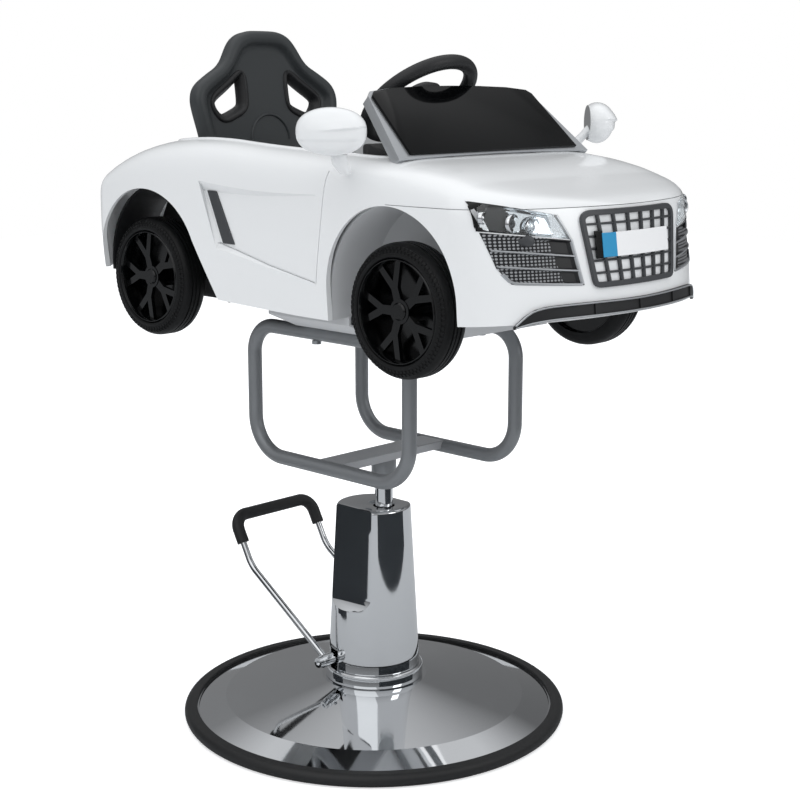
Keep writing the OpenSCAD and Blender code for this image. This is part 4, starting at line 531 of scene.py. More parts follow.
def door_deep(s):
    u = clamp((s - DOOR_START) / DOOR_L, 0, 1)
    return DOOR_DEPTH * (DOOR_FRONT + (1 - DOOR_FRONT) * u ** 1.3)


def wall_deep(s):
    """Wall of the body, thicker behind the door's recess."""
    return 5.0 + 9.0 * clamp((s - 0.36) / 0.06, 0, 1) * clamp((0.70 - s) / 0.03, 0, 1)


AXLE_Z = 697.0
ARCH_R, ARCH_Z = 121.0, 716.97
# Reach of cutters below the car, the rear arch's run-out in its radii, the seam over
# the bumper and its gap, and the foot and thickness of the wall round the cockpit
BELOW, RUN_OUT = 560.0, 1.33
SEAM_Z, SEAM_GAP = 840.3, 0.9
RIM_LOW, RIM_T = 849.7, 4.0
FRONT_Y, REAR_Y = -265.0, 255.0
OPEN_X, OPEN_FRONT, OPEN_REAR, OPEN_R = 180.0, -230.0, 262.0, 45.0


def arc(cy, cz, r, a0, a1, steps):
    turns = [math.radians(a0 + (a1 - a0) * i / steps) for i in range(steps + 1)]
    return [(cy + r * math.cos(a), cz + r * math.sin(a)) for a in turns]


def through(name, outline, half=260.0):
    """A cutter right across the body, from an outline in y and z."""
    return prism(name, [(-half, y, z) for y, z in outline], (2 * half, 0, 0))


def opening_path(grow):
    """The cockpit's opening in plan, grown outwards, in steps of 12 mm at most."""
    x, y0, y1, r = OPEN_X + grow, OPEN_FRONT - grow, OPEN_REAR + grow, OPEN_R + grow
    path = []
    corners = ((x - r, y1 - r), (-x + r, y1 - r), (-x + r, y0 + r), (x - r, y0 + r))
    for k, (cx, cy) in enumerate(corners):
        path += arc(cx, cy, r, 90 * k, 90 * k + 90, 10)
    dense = []
    for i, p in enumerate(path):
        q = path[(i + 1) % len(path)]
        parts = max(1, round(math.dist(p, q) / 12))
        dense += [between(p, q, k / parts) for k in range(parts)]
    return dense


def sink(cutter, deep):
    """Cuts a cutter out of the shell, down to a depth under its surface."""
    floor = laid_grid("cut_floor", [body_row(s, deep(s), 100.0) for s in DOOR_CUT], capped=True)
    carve(shell, carve(cutter, floor))


def nose_box(top):
    """A cutter over all that lies before the front wheels, up to a height."""
    front = NOSE_Y - 30
    return through("nose_box", [(front, BELOW), (FRONT_Y, BELOW), (FRONT_Y, top), (front, top)], 270.0)


shell = body_loft("body_outer", lambda s: 0.0)
carve(shell, body_loft("body_inner", wall_deep, 300.0, fine=2))
front_legs = arc(FRONT_Y, ARCH_Z, ARCH_R, 0, 180, 60)
carve(shell, through("front_arch", front_legs + [(FRONT_Y - ARCH_R, BELOW),
                                                 (FRONT_Y + ARCH_R, BELOW)]))
rear_r = ARCH_R - 2
rear_legs = arc(REAR_Y, ARCH_Z, rear_r, 0, 157, 52)
run_out_y = REAR_Y - RUN_OUT * ARCH_R
carve(shell, through("rear_arch", rear_legs + [(run_out_y, ROCKER_Z - 2), (run_out_y, BELOW),
                                               (REAR_Y + rear_r, BELOW)]))
carve(shell, prism("cockpit", [(x, y, 845) for x, y in opening_path(0)], (0, 0, 200)))
lamp_rows = [[(0.920, 0.580), (0.475, 0.525)], [(0.924, 0.732), (0.550, 0.655)]]
vent_rows = [[(0.809, 0.306), (0.414, 0.282)], [(0.867, 0.389), (0.430, 0.350)],
             [(0.917, 0.573), (0.468, 0.519)]]
for rows in (lamp_rows, vent_rows):
    for side in (-1, 1):
        edge = [row[0] for row in rows] + [row[1] for row in reversed(rows)]
        hole = [(side * HALF_W * a, NOSE_Y - 20, share_z(b)) for a, b in edge]
        carve(shell, prism("nose_hole", hole, (0, 260, 0)))
for side in (-1, 1):
    block = [[(side * x, NOSE_Y + CAR_L * a,
               share_z(b) + (FOOT_RISE if b < 0.5 else TOP_FALL) * (DOOR_MID - x)) for a, b in DOOR]
             for x in DOOR_X]
    sink(laid_grid("door_block", block, capped=True), door_deep)
    for line, deep in ((FRONT_GROOVE, lambda s: GROOVE), (LOW_GROOVE, lambda s: door_deep(s) + GROOVE)):
        outline = [(side * GROOVE_X, y, z) for y, z in line]
        sink(prism("groove", outline, (side * GROOVE_REACH, 0, 0)), deep)
bumper = copied(shell, "front_bumper_fine")
carve(shell, nose_box(SEAM_Z))
carve(bumper, nose_box(SEAM_Z - SEAM_GAP), "INTERSECT")

rim_rows = []
for x, y in opening_path(0):
    z = skin_z(x, y)
    ax = clamp(x, -OPEN_X + OPEN_R, OPEN_X - OPEN_R)
    ay = clamp(y, OPEN_FRONT + OPEN_R, OPEN_REAR - OPEN_R)
    near = Vector((x, y, 0))
    far = near + RIM_T * Vector((x - ax, y - ay, 0)).normalized()
    rim_rows.append([p + Vector((0, 0, h)) for p, h in
                     ((near, RIM_LOW), (near, z - 2), (far, z - 3), (far, RIM_LOW))])
rim_rows.append(rim_rows[0])
rim = laid_grid("rim_wall", rim_rows)
bead_path = [(x, y, skin_z(x, y) - 2.0) for x, y in opening_path(1.5)]
bead = rod_along("rim_bead", bead_path, 4.2, 12, closed=True)
body = merged([shell, rim, bead], "body_shell_fine")
for piece, node_name in ((body, "body_shell"), (bumper, "front_bumper")):
    dressed(piece, white_gloss, "chair", "body_white", node_name, soft=30)


# ---- seat
SEAT_X, SEAT_H, SEAT_BACK, SEAT_Z = 150.0, 306.0, 225.0, 768.3
SEAT_T = 13.0
LEAN_TURN = math.radians(-8)
# Half outline of the back, and the outline of a hole in it, in shares
SEAT_SIDE = [(0.787, 0), (0.835, 0.15), (0.88, 0.30), (0.927, 0.47), (0.975, 0.575),
             (1, 0.655), (0.945, 0.725), (0.747, 0.785), (0.60, 0.822), (0.525, 0.862),
             (0.47, 0.91), (0.40, 0.955), (0.32, 0.983), (0.2, 1), (0.1, 1.002)]
SEAT_HOLE = [(0.300, 0.785), (0.335, 0.792), (0.50, 0.730), (0.72, 0.665), (0.742, 0.640),
             (0.735, 0.611), (0.66, 0.560), (0.60, 0.548), (0.50, 0.565), (0.33, 0.600),
             (0.300, 0.630)]
# Section of the back's edge and of a hole's frame: how far in or out, and depth
SEAT_EDGE = [(9, 0), (3, 0), (0.8, -1.2), (0, -4), (0, -15), (0.8, -18.5), (3.2, -21.6),
             (7, -23.4), (12, -23.6), (16, -22.6), (19, -20.4), (21.5, -17.2), (24, -14.6),
             (27, -13.3), (31, -13)]
HOLE_FRAME = [(-7.0, 0.3), (-7.0, -5.0), (-1.0, -13), (0.8, -15.2), (2.4, -16), (5.5, -16),
              (7.6, -14.8), (8.6, -12.4), (8.6, -8), (4, -6), (4, 0.3), (0, 0.3)]
RIDGE_R, RIDGE_Y, RIDGE_Z = 40, -13.2, 135
PAN_T, PAN_L, PAN_X = 44.0, 175.0, 120.0


def rounded_path(points, rounds):
    """Corners of a closed path cut off again and again."""
    for _ in range(rounds):
        out = []
        for i, p in enumerate(points):
            q = points[(i + 1) % len(points)]
            out += [between(p, q, 0.25), between(p, q, 0.75)]
        points = out
    return points


def near_corners(points, reach):
    """A closed path with points set near its corners, so that rounding stays there."""
    out = []
    for i, p in enumerate(points):
        q = points[(i + 1) % len(points)]
        part = min(reach / math.dist(p, q), 0.45)
        out += [p, between(p, q, part), between(q, p, part)]
    return out


def even_path(points, count):
    """A closed path stepped evenly."""
    lengths = [math.dist(p, points[(i + 1) % len(points)]) for i, p in enumerate(points)]
    step, out, i, gone = sum(lengths) / count, [], 0, 0.0
    for k in range(count):
        while gone + lengths[i] < k * step:
            gone += lengths[i]
            i += 1
        out.append(between(points[i], points[(i + 1) % len(points)], (k * step - gone) / lengths[i]))
    return out


def drawn_path(points, by):
    """A closed anticlockwise path drawn in by steps of a millimetre, and eased."""
    sign = 1 if by > 0 else -1
    for k in range(int(math.ceil(abs(by)))):
        step = sign * min(1.0, abs(by) - k)
        n = len(points)
        moved = []
        for i, p in enumerate(points):
            a, b = points[i - 1], points[(i + 1) % n]
            dx, dy = b[0] - a[0], b[1] - a[1]
            size = math.hypot(dx, dy) or 1
            moved.append((p[0] - step * dy / size, p[1] + step * dx / size))
        points = [tuple(0.2 * moved[i - 1][j] + 0.6 * moved[i][j] + 0.2 * moved[(i + 1) % n][j]
                        for j in (0, 1)) for i in range(n)]
    return points


def on_seat(x, y, z):
    """A point of the leaning seat back, from its own frame."""
    c, s = math.cos(LEAN_TURN), math.sin(LEAN_TURN)
    return (x, SEAT_BACK + y * c - z * s, SEAT_Z + y * s + z * c)


side = [(SEAT_X * a, SEAT_H * b) for a, b in SEAT_SIDE]
seat_line = even_path(rounded_path(side + [(-x, z) for x, z in reversed(side)], 3), 220)
back = laid_grid("seat_back_fine", [[on_seat(x, y, z) for x, z in drawn_path(seat_line, d)]
                                    for d, y in SEAT_EDGE], capped=True)
hole_line = even_path(rounded_path([(SEAT_X * a, SEAT_H * b) for a, b in reversed(SEAT_HOLE)], 2), 72)
frames = []
for side_sign, side_name in ((1, "left"), (-1, "right")):
    cutter = [on_seat(side_sign * x, 20, z) for x, z in hole_line]
    carve(back, prism("seat_hole", cutter, Vector(on_seat(0, -60, 0)) - Vector(on_seat(0, 20, 0))))
    rows = [[on_seat(side_sign * x, y, z) for x, z in drawn_path(hole_line, -d + 1.5)]
            for d, y in HOLE_FRAME]
    frames.append(laid_grid("seat_frame_" + side_name, rows))
# Half-round ridge low on the back
half_turn = [math.pi * i / 36 for i in range(37)]
ridge = [on_seat(RIDGE_R * math.cos(a), RIDGE_Y, RIDGE_Z + RIDGE_R * math.sin(a)) for a in half_turn]
ridge_bead = rod_along("seat_ridge", ridge, 2.2, 8, up=(0, 1, 0.14))
# Pan: a slab with a rolled front edge
pan_r, pan_end = PAN_T / 2, SEAT_BACK - SEAT_T - 2
pan_front = SEAT_BACK - SEAT_T - PAN_L + pan_r
pan_side = [(pan_end, SEAT_Z), (pan_end, SEAT_Z + PAN_T)]
pan_side += [(pan_front - pan_r * math.sin(a), SEAT_Z + pan_r + pan_r * math.cos(a))
             for a in (math.pi * i / 20 for i in range(21))]
pan = prism("seat_pan_fine", [(-PAN_X, y, z) for y, z in pan_side], (2 * PAN_X, 0, 0))
reshaped(pan, "BEVEL", width=6 * MM, segments=4, angle_limit=math.radians(50))
seat_piece = merged([back, ridge_bead, pan], "seat_fine")
dressed(seat_piece, seat_grain, "chair", "seat_black", "seat", soft=40)
for piece in frames:
    dressed(piece, black_grain, "chair", "seat_black", soft=40)


# ---- wheels
FACE_X = 220.0
WHEELS = {"front_right": (-1, -263.0), "front_left": (1, -263.0),
          "rear_right": (-1, 277.0), "rear_left": (1, 277.0)}
# Blocks round a tyre, how far they stand out, and the parts of that on the face and tread
BLOCKS, BLOCK_RISE, FACE_PART, TREAD_PART = 76, 1.3, 0.9, 0.3
# Outer face of a tyre, from the bead over two rows of blocks to the tread: radius,
# depth behind the face, and which of two rows of blocks, if any
TYRE_LINE = [(71.9, 2.5, 0), (73, 0.3, 0), (75.5, -0.6, 0), (78, 0.2, 0), (79, 0.6, 0),
             (79.2, 0.6, 1), (82.4, 1.4, 1), (82.6, 1.6, 0), (83.2, 1.9, 0), (83.4, 1.9, 2),
             (86.6, 3.9, 2), (86.8, 4.3, 0), (88.6, 6.0, 0), (90.6, 9, 0), (91.6, 12, 0),
             (92, 15.2, 0), (92, 15.4, 0), (90.2, 15.9, 0), (90.2, 18.1, 0), (92, 18.6, 0),
             (92, 22.8, 0), (90.6, 23.2, 0), (90.6, 24.8, 0), (92, 25.2, 0), (92, 29.4, 0),
             (90.2, 29.9, 0), (90.2, 32.1, 0), (92, 32.6, 0), (92, 33.6, 0), (91.4, 37, 0),
             (90, 41, 0), (87, 44.6, 0), (83, 46.8, 0), (78, 47.6, 0), (72.5, 47.4, 0),
             (71.9, 46, 0)]


def tyre(name, side_sign, axle_y):
    rows = []
    for k in range(BLOCKS):
        for u, high in ((0.0, 0), (0.06, 1), (0.58, 1), (0.64, 0)):
            row = []
            for r, deep, kind in TYRE_LINE:
                lift = BLOCK_RISE * high if kind else 0
                t = 2 * math.pi * (k + u + (0.5 if kind == 2 else 0)) / BLOCKS
                reach = r + TREAD_PART * lift
                row.append((side_sign * (FACE_X - deep + FACE_PART * (lift > 0)),
                            axle_y + reach * math.cos(t), AXLE_Z + reach * math.sin(t)))
            rows.append(row)
    rows.append(rows[0])
    return laid_grid(name, rows)


for place, (side_sign, axle_y) in WHEELS.items():
    end, side_name = place.split("_")
    stand_in = end + "_tyre_" + side_name
    piece = tyre(stand_in + "_fine", side_sign, axle_y)
    dressed(piece, tyre_black, end + "_wheel_" + side_name, "tyre_black", stand_in, soft=28)


# ---- nose and tail trim
END_W = HALF_W * 0.988
NOSE_L = NOSE_SHARE * CAR_L


def tuck(z):
    """How far the side draws in towards its foot."""
    return FOOT_TUCK * max(0.0, (BELT_Z - z) / (BODY_H * (BELT_SHARE - NOSE_FOOT))) ** 2


def nose_at(x, z, out):
    """A point over the rounded nose, at a distance off it."""
    def narrowing(s):
        v = (z - BELT_Z) / (top_z(s) - BELT_Z)
        return 1.0 if v <= 0 else (1 - min(v, 0.99) ** CORNER) ** (1 / CORNER)

    turn = math.asin(clamp((abs(x) + tuck(z)) / END_W, -1, 1))
    for _ in range(3):
        w = END_W * narrowing(NOSE_SHARE * (1 - math.cos(turn)))
        turn = math.asin(clamp((abs(x) + tuck(z)) / w, -1, 1))
    nx, ny = NOSE_L * math.sin(turn), END_W * math.cos(turn)
    size = math.hypot(nx, ny)
    y = NOSE_Y + NOSE_L - (NOSE_L * math.cos(turn) + out * ny / size) + LEAN * (z - LEAN_Z) / LEAN_H
    return Vector((x + math.copysign(out * nx / size, x), y, z))


def strap(name, path, width, low, high, closed=False):
    """A flat bar laid over the nose along a path of x and z, between two heights."""
    rows = []
    n = len(path)
    for i, p in enumerate(path):
        a = path[i - 1] if closed or i else p
        b = path[(i + 1) % n] if closed or i < n - 1 else p
        dx, dz = b[0] - a[0], b[1] - a[1]
        size = math.hypot(dx, dz)
        sx, sz = -dz / size * width / 2, dx / size * width / 2
        soft = min(0.8, (high - low) / 3, width / 3)
        k = 1 - 2 * soft / width
        section = ((-1, low), (-1, high - soft), (-k, high), (k, high), (1, high - soft), (1, low))
        rows.append([nose_at(p[0] + f * sx, p[1] + f * sz, h) for f, h in section])
    if closed:
        rows.append(rows[0])
    return laid_grid(name, rows, capped=not closed)


def stretched(a, b, steps):
    return [between(a, b, i / steps) for i in range(steps + 1)]


def nose(x, z):
    """A place on the nose from shares of the half width and of the body's height."""
    return (HALF_W * x, share_z(z))


def in_rows(rows, u, v):
    """A place between rows of shares: u from the outer to the inner side, v up."""
    heights = [row[0][1] for row in rows]
    t = heights[0] + (heights[-1] - heights[0]) * v
    k = 0
    while k < len(rows) - 2 and t > heights[k + 1]:
        k += 1
    w = (t - heights[k]) / (heights[k + 1] - heights[k])
    return between(between(rows[k][0], rows[k + 1][0], w), between(rows[k][1], rows[k + 1][1], w), u)


def insert_face(name, rows, deep, nu, nv):
    """A face that fills a hole of the nose on the right side. deep(u, v) is how
    far it lies under the surface."""
    grid = []
    for v in (j / nv for j in range(nv + 1)):
        places = [(u, *in_rows(rows, u, v)) for u in (i / nu for i in range(nu + 1))]
        grid.append([nose_at(*nose(-a, b), -deep(u, v)) for u, a, b in places])
    return laid_grid(name, grid, closed=False)


def eased(t):
    t = clamp(t, 0, 1)
    return t * t * (3 - 2 * t)


def lamp_deep(u, v):
    return 2.9 + 12 * eased(min(u, 1 - u) * 100 / 7) * eased(min(v, 1 - v) * 34 / 5)


# Lamps of a headlight: place in shares, and radius
LAMPS = [(0.865, 0.647, 8.0), (0.740, 0.614, 12.5), (0.645, 0.594, 13.5)]
LAMP_DEPTH, LAMP_TURN = 12.5, Vector((-0.25, -1.1, 0.1))
bowl = painted(insert_face("headlight_bowl", lamp_rows, lamp_deep, 60, 24), metallised, rim_black)
ring_x, ring_z = nose(*LAMPS[1][:2])
for face in bowl.data.polygons:
    x, z = -face.center.x / MM, face.center.z / MM
    if x > ring_x - 4 + 0.9 * (z - ring_z) and math.hypot(x - ring_x, z - ring_z) > 10:
        face.material_index = 1
units = []
for i, (a, b, r) in enumerate(LAMPS):
    x, z = nose(-a, b)
    foot = nose_at(x, z, -LAMP_DEPTH)
    ahead = ((nose_at(x, z, 0) - foot).normalized() + LAMP_TURN).normalized()
    side_way = ahead.cross(Vector((0, 0, 1))).normalized()
    upward = side_way.cross(ahead)
    line = [(r, -2), (r, 2.6), (r - 0.4, 3.3), (r - 1.2, 3.5), (r - 1.8, 2.9), (r - 2.8, 0.8),
            (r * 0.5, 0.2), (r * 0.44, 0.8), (r * 0.42, 1.6), (r * 0.32, 2.6), (r * 0.16, 3.2),
            (0, 3.3)]
    rows = [[foot + h * ahead + q * (math.cos(t) * side_way + math.sin(t) * upward)
             for t in full_turn(32)] for q, h in line]
    unit = painted(laid_grid("headlight_ring_%d" % i, rows), metallised, trim_grey)
    if i == 1:
        for face in unit.data.polygons:
            off = Vector(face.center) / MM - foot
            if (off - off.dot(ahead) * ahead).length < r * 0.62:
                face.material_index = 1
    units.append(unit)
for k in range(2):
    slat_path = [nose(-(0.905 - 0.012 * k - 0.03 * t), 0.70 - 0.10 * t - 0.02 * k)
                 for t in (i / 8 for i in range(9))]
    units.append(painted(strap("headlight_slat_%d" % k, slat_path, 1.2, -12, -6.5), metallised))
lamp_right = merged([bowl] + units, "headlight_right_fine")
cover = insert_face("headlight_lens_right_fine", lamp_rows, lambda u, v: -0.4, 40, 8)
reshaped(cover, "SOLIDIFY", thickness=2.2 * MM, offset=-1)

# Heights of the side grille's two bars, in shares of its own height
BAR_V = (0.345, 0.66)
SENSOR_X, SENSOR_Z = -172.0, 801.0


def vent_deep(u, v):
    edge = min(u * 95, (1 - u) * 95, v * 65, (1 - v) * 65)
    bar = min(abs(v - at) * 65 for at in BAR_V)
    return -0.6 + 6.5 * eased((edge - 1.6) / 2.5) * eased((bar - 1.0) / 1.2)


vent = painted(insert_face("side_grille_right_fine", vent_rows, vent_deep, 90, 80), dot_mesh)
trims = []
for v in BAR_V:
    ends = [in_rows(vent_rows, u, v) for u in (0.03, 0.985)]
    trims.append(strap("grille_bar", stretched(*(nose(-a, b) for a, b in ends), 16), 2.2, -3.0, 1.2))
trim_edge = [in_rows(lamp_rows, 0.995, v) for v in (0.98, 0.7, 0.4, 0.1)]
trim_edge += [in_rows(vent_rows, 0.99, v) for v in (1.0, 0.8, 0.6, 0.4, 0.2, 0.05)]
trim_edge += [in_rows(vent_rows, u, 0.015) for u in (0.96, 0.8, 0.6, 0.4, 0.2, 0.06)]
trim_edge += [in_rows(vent_rows, 0.012, v) for v in (0.06, 0.2)]
trims.append(strap("grille_trim", [nose(-a, b) for a, b in trim_edge], 3.2, -4.0, 1.4))
for piece in trims:
    painted(piece, silver)
sensor = [[nose_at(SENSOR_X + r * math.cos(t), SENSOR_Z + r * math.sin(t), h) for t in full_turn(32)]
          for r, h in ((7.0, -6), (7.0, 0.6), (6.6, 0.9), (0, 1.0))]
sensor_disc = painted(laid_grid("grille_disc", sensor), trim_grey)
vent_right = merged([vent, sensor_disc] + trims, "side_grille_right_fine")
for piece, node_name, slot_name in ((lamp_right, "headlight", "silver_plastic"),
                                    (cover, "headlight_lens", "lens_clear"),
                                    (vent_right, "side_grille", "black_plastic")):
    twin = copied(piece, node_name + "_left_fine", across=True)
    material = lens_clear if piece is cover else None
    dressed(piece, material, "chair", slot_name, node_name + "_right")
    dressed(twin, material, "chair", slot_name, node_name + "_left")

# Centre grille: a rounded frame, six bars up and down and five across, on the white bumper
GRILLE = [(-0.355, 0.262), (0.355, 0.262), (0.42, 0.638), (0.372, 0.672), (-0.372, 0.672),
          (-0.42, 0.638)]
UPRIGHTS, CROSSES = 6, 5
grille_line = even_path(rounded_path(near_corners([nose(*p) for p in GRILLE], 14), 3), 140)
bars = [strap("grille_frame", drawn_path(grille_line, 3.5), 7.0, 0.3, 5.0, closed=True)]
low_z, high_z = share_z(0.275), share_z(0.662)
for k in range(1, UPRIGHTS + 1):
    u = 2 * k / (UPRIGHTS + 1) - 1
    path = stretched((HALF_W * 0.335 * u, low_z), (HALF_W * 0.42 * u, high_z), 14)
    bars.append(strap("grille_upright", path, 4.6, 0.3, 4.4))
for k in range(1, CROSSES + 1):
    v = k / (CROSSES + 1)
    z = low_z + (high_z - low_z) * v
    half = HALF_W * (0.345 + 0.07 * v)
    bars.append(strap("grille_cross", stretched((-half, z), (half, z), 24), 2.8, 0.3, 3.4))
grille = merged(bars, "centre_grille_fine")
dressed(grille, trim_grey, "chair", "black_plastic", "centre_grille")
PLATE_MID, PLATE_H, BAND_X = 791.0, 31.0, -47
plate_path = stretched((-70, PLATE_MID), (70, PLATE_MID), 28)
plate = painted(strap("number_plate_fine", plate_path, PLATE_H, 5.6, 7.2), plate_white, plate_band)
for face in plate.data.polygons:
    if face.center.x / MM < BAND_X:
        face.material_index = 1
holder_path = stretched((-80, PLATE_MID + 1), (-69, PLATE_MID + 1), 3)
holder = painted(strap("plate_holder", holder_path, PLATE_H + 4, 3.0, 6.6), rim_black)
plate = merged([plate, holder], "number_plate_fine")
dressed(plate, None, "chair", "plate_white", "number_plate")

# Silver lines on the lip
LIP_LOW = [(0, 0.116), (0.62, 0.113), (0.85, 0.098), (1, 0.07)]
LIP_HIGH = [(0, 0.19), (0.62, 0.19), (0.85, 0.166), (1, 0.085)]
lip_lines = []
for table, nudge in ((LIP_LOW, 1.2), (LIP_HIGH, -1.2)):
    path = []
    for k in range(49):
        a = math.radians(-54 + 108 * k / 48)
        path.append((END_W * math.sin(a), share_z(curve_at(table, abs(math.degrees(a)) / 55)) + nudge))
    lip_lines.append(strap("lip_line", path, 2.0, 3.5, 5.4))
lip_trim = merged(lip_lines, "lip_lines")
dressed(lip_trim, silver, "chair", "silver_plastic")

# Blades behind the doors, in the recess: lower and upper end, each with its front and
# back in shares of the length and its height
BLADE = [(0.602, 0.630, 0.371), (0.644, 0.6655, 0.683)]
for side_sign, name in ((-1, "side_blade_right"), (1, "side_blade_left")):
    rows = []
    for k in range(25):
        v = k / 24
        a, b, h = (BLADE[0][i] * (1 - v) + BLADE[1][i] * v for i in range(3))
        z = share_z(h)
        section = ((a, -0.5), (a, 1.6), (a + 0.0008, 2.4), (b - 0.0008, 2.4), (b, 1.6), (b, -0.5))
        rows.append([(side_sign * (half_w(s) - door_deep(s) - tuck(z) + out), NOSE_Y + CAR_L * s, z)
                     for s, out in section])
    blade = laid_grid(name + "_fine", rows, capped=True)
    dressed(blade, trim_grey, "chair", "blade_grey", name)


# ---- mirrors
MIRROR_AT = Vector((-281.0, -208.0, 933.0))
MIRROR_FOOT = Vector((-250.0, -190.0, 902.3))
# Half sizes of a mirror's head, where its glass lies, and its steps round
HEAD_X, HEAD_Y, HEAD_Z = 46, 27, 31
GLASS_Y = HEAD_Y * 0.55
HEAD_STEPS = 144


def mirror_right_piece():
    turn = Matrix.Rotation(math.radians(-45), 3, "Z")
    head = []
    for i in range(1, 64):
        a = math.pi * i / 64
        along, r = math.cos(a), math.sin(a) ** 0.8
        ring = []
        for b in full_turn(HEAD_STEPS):
            front, up = -math.cos(b), math.sin(b)
            x, y, z = HEAD_X * along, min(HEAD_Y * r * front, GLASS_Y), HEAD_Z * r * up
            # Flat under a crease low on the shell, and a blade that runs out to the side
            drop = clamp((-z - 9) / 4, 0, 1) * clamp(-front, 0, 1)
            over_edge = z - 3 - 4 * along
            fall = 1 - over_edge / 15 if over_edge > 0 else 1 + over_edge / 2.2
            y -= 4.0 * eased((along + 0.6) / 0.9) * clamp(fall, 0, 1) * clamp(-3 * front, 0, 1)
            y += 2.2 * drop
            ring.append(MIRROR_AT + turn @ Vector((x, y, z)))
        head.append(ring)
    tips = [[MIRROR_AT + turn @ Vector((x, 0, 0))] * HEAD_STEPS for x in (HEAD_X, -HEAD_X)]
    shell_piece = laid_grid("mirror_shell", [tips[0]] + head + [tips[1]])
    stalk_rows = []
    for k in range(13):
        t = k / 12
        at = MIRROR_FOOT.lerp(MIRROR_AT, t)
        wide = 11 - 2.2 * math.sin(math.pi * min(t * 1.3, 1))
        stalk_rows.append([at + Vector((wide * math.cos(c), wide * math.sin(c), 0))
                           for c in full_turn(32)])
    stalk = laid_grid("mirror_stalk", stalk_rows, capped=True)
    glass_rows = [[MIRROR_AT + turn @ Vector((HEAD_X * r * math.cos(c), GLASS_Y + proud,
                                              HEAD_Z * r * math.sin(c))) for c in full_turn(64)]
                  for r, proud in ((0.0, 0.4), (0.8, 0.4), (0.86, 0.0))]
    glass = laid_grid("mirror_glass", glass_rows)
    return merged([painted(shell_piece, white_gloss), painted(stalk, white_gloss),
                   painted(glass, chrome)], "mirror_right_fine")


mirror = mirror_right_piece()
mirror_twin = copied(mirror, "mirror_left_fine", across=True)
dressed(mirror, None, "right_mirror", "body_white", "mirror_right")
dressed(mirror_twin, None, "left_mirror", "body_white", "mirror_left")
# Feet of the mirrors on the body
for side_sign, name in ((-1, "mirror_foot_right"), (1, "mirror_foot_left")):
    rows = [[(side_sign * (250 - inward + r * math.cos(c)), -190 + r * math.sin(c), h)
             for c in full_turn(32)]
            for h, r, inward in ((876, 7, 12), (882, 9.5, 7), (890, 11, 2), (898, 11.2, 0),
                                 (901.6, 11, 0))]
    foot = laid_grid(name, rows, capped=True)
    dressed(foot, white_gloss, "chair", "body_white", soft=40)


# ---- stage
def stage_plane(name, size, place, turn, mat):
    bpy.ops.object.select_all(action="DESELECT")
    bpy.ops.mesh.primitive_plane_add(size=size, location=place, rotation=turn)
    ob = bpy.context.object
    ob.name = name
    ob.data.materials.append(mat)
    return ob


def studio_floor():
    """Pale floor: takes the shadow, and is lifted to white for the camera alone."""
    mat = cleared(bpy.data.materials.new("studio_floor"))
    path = node(mat, "ShaderNodeLightPath").outputs
    # Chrome mirrors a greyer floor than the one that the camera sees
    paper = node(mat, "ShaderNodeMix", {"data_type": "RGBA", 6: linear(FLOOR_SEEN),
                                        7: linear(FLOOR_MIRRORED)}, {0: path["Is Glossy Ray"]})
    matt = node(mat, "ShaderNodeBsdfDiffuse", {}, {"Color": paper.outputs[2]}).outputs[0]
    lift = node(mat, "ShaderNodeEmission", {"Color": (1, 1, 1, 1), "Strength": FLOOR_LIFT}).outputs[0]
    both = node(mat, "ShaderNodeAddShader", {}, {0: matt, 1: lift}).outputs[0]
    seen = node(mat, "ShaderNodeMixShader", {}, {0: path["Is Camera Ray"], 1: matt, 2: both})
    node(mat, "ShaderNodeOutputMaterial", {}, {0: seen.outputs[0]})
    return mat


def dark_card(name, place, facing, wide, high):
    """Dark grey card that only mirroring surfaces see: it draws the dark bands in
    the chrome."""
    card = stage_plane(name, 1.0, place, (math.radians(90), 0, math.radians(facing)), card_dark)
    card.scale = (wide, high, 1.0)
    for ray in ("camera", "diffuse", "transmission", "volume_scatter", "shadow"):
        setattr(card, "visible_" + ray, False)


FLOOR_SEEN, FLOOR_MIRRORED, FLOOR_LIFT = "F4F5F6", "C6C8CA", 0.5
stage_plane("studio_floor", 14, (0, 0, 0), (0, 0, 0), studio_floor())
card_dark = cleared(bpy.data.materials.new("card_dark"))
card_matt = node(card_dark, "ShaderNodeBsdfDiffuse", {"Color": linear("3E4144")})
node(card_dark, "ShaderNodeOutputMaterial", {}, {0: card_matt.outputs[0]})
dark_card("card_left", (-0.44, 0.44, 0.22), 45, 0.36, 0.42)
dark_card("card_front", (0.12, -0.98, 0.25), 14, 1.9, 0.5)

world = bpy.context.scene.world = cleared(bpy.data.worlds.new("studio"))
rays = node(world, "ShaderNodeLightPath").outputs
sky_at = node(world, "ShaderNodeSeparateXYZ", {}, {
    "Vector": node(world, "ShaderNodeTexCoord").outputs["Generated"]}).outputs


def ramp(value, start, end, low, high):
    """Changes from low to high while the value goes from start to end."""
    return node(world, "ShaderNodeMapRange", {"From Min": start, "From Max": end, "To Min": low,
                                              "To Max": high}, {"Value": value}).outputs["Result"]


# The room is brighter above than below. Behind the chair, gloss sees a grey backdrop in
# its place, a little lighter at the left, that ends high up.
height = ramp(sky_at["Z"], -0.05, 0.75, 0.2, 0.72)
far_tone = ramp(maths(world, "SUBTRACT", sky_at["X"], sky_at["Y"]), -0.6, 0.6, 0.26, 0.15)
far_part = ramp(maths(world, "ADD", sky_at["X"], sky_at["Y"]), 0.35, 1.0, 0.0, 1.0)
backdrop = maths(world, "MULTIPLY", far_part, ramp(sky_at["Z"], 0.5, 0.75, 1.0, 0.0))
mirrored = maths(world, "MULTIPLY", backdrop, rays["Is Glossy Ray"])
tone = node(world, "ShaderNodeMix", {"data_type": "FLOAT"}, {0: mirrored, 2: height, 3: far_tone})
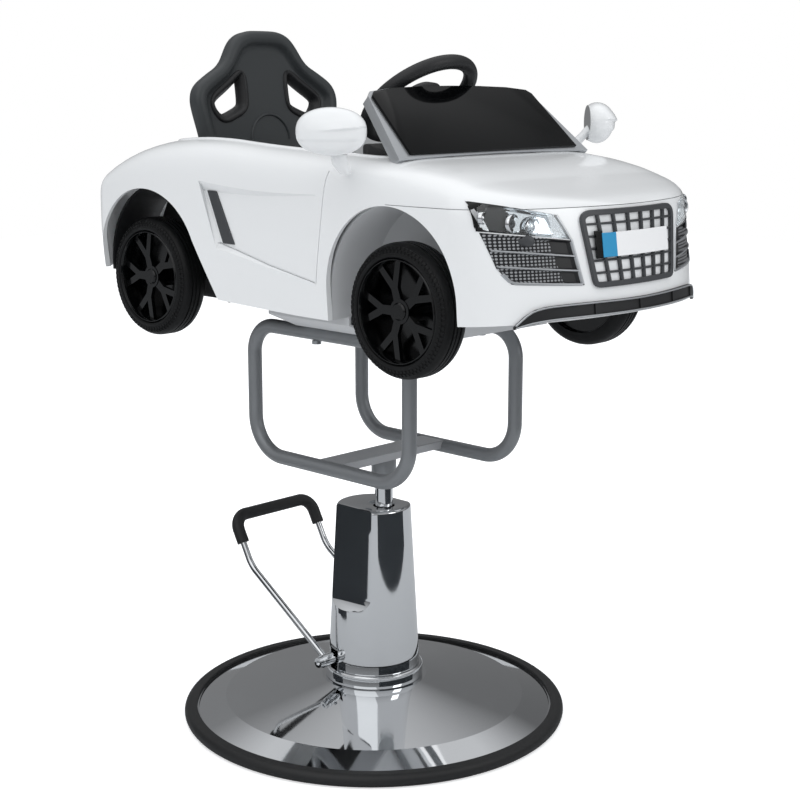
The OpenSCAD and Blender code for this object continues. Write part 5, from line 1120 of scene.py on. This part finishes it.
# Matt surfaces get more of the room than gloss mirrors: the white body stays soft.
MATT_FILL = 0.26
fill = maths(world, "MULTIPLY_ADD", rays["Is Diffuse Ray"], MATT_FILL, tone.outputs[0])
room = node(world, "ShaderNodeBackground", {"Color": (0.97, 0.98, 1.0, 1.0)}, {"Strength": fill})
white = node(world, "ShaderNodeBackground", {"Color": (1, 1, 1, 1), "Strength": 1.0})
seen = maths(world, "MAXIMUM", rays["Is Camera Ray"], rays["Is Transmission Ray"])
sky = node(world, "ShaderNodeMixShader", {}, {0: seen, 1: room.outputs[0], 2: white.outputs[0]})
node(world, "ShaderNodeOutputWorld", {}, {0: sky.outputs[0]})


def lamp(name, place, target, size, power):
    """A soft box that looks at a point."""
    data = bpy.data.lights.new(name, "AREA")
    data.shape = "RECTANGLE"
    data.size, data.size_y = size
    data.energy = power
    ob = bpy.data.objects.new(name, data)
    bpy.context.scene.collection.objects.link(ob)
    ob.location = place
    ob.rotation_euler = (Vector(target) - Vector(place)).to_track_quat("-Z", "Y").to_euler()
    return ob


lamp("key_softbox", (-2.6, -1.0, 2.7), (0, 0, 0.8), (3.2, 3.0), 19)
lamp("front_softbox", (0.9, -3.0, 1.9), (0, -0.1, 0.8), (1.2, 1.6), 14)
lamp("top_softbox", (0.1, 0.3, 3.2), (0, 0, 0.6), (3.0, 3.0), 12)
back_box = lamp("back_softbox", (1.6, 2.4, 1.8), (0, 0, 0.7), (1.2, 1.6), 8)
# Its reflection would stand as a white patch in the chrome
back_box.visible_glossy = False

# The photograph's camera: lens and sensor in mm, place in m, turn in degrees
LENS, SENSOR = 70.5, 36
CAMERA_AT, CAMERA_TURN = (-1.6868, -1.6992, 1.0007), (78.38, 0, -45.79)
camera_data = bpy.data.cameras.new("camera")
camera_data.lens = LENS
camera_data.sensor_width = SENSOR
camera = bpy.data.objects.new("camera", camera_data)
bpy.context.scene.collection.objects.link(camera)
camera.location = CAMERA_AT
camera.rotation_euler = [math.radians(a) for a in CAMERA_TURN]
bpy.context.scene.camera = camera
bpy.context.scene.view_settings.view_transform = "Standard"
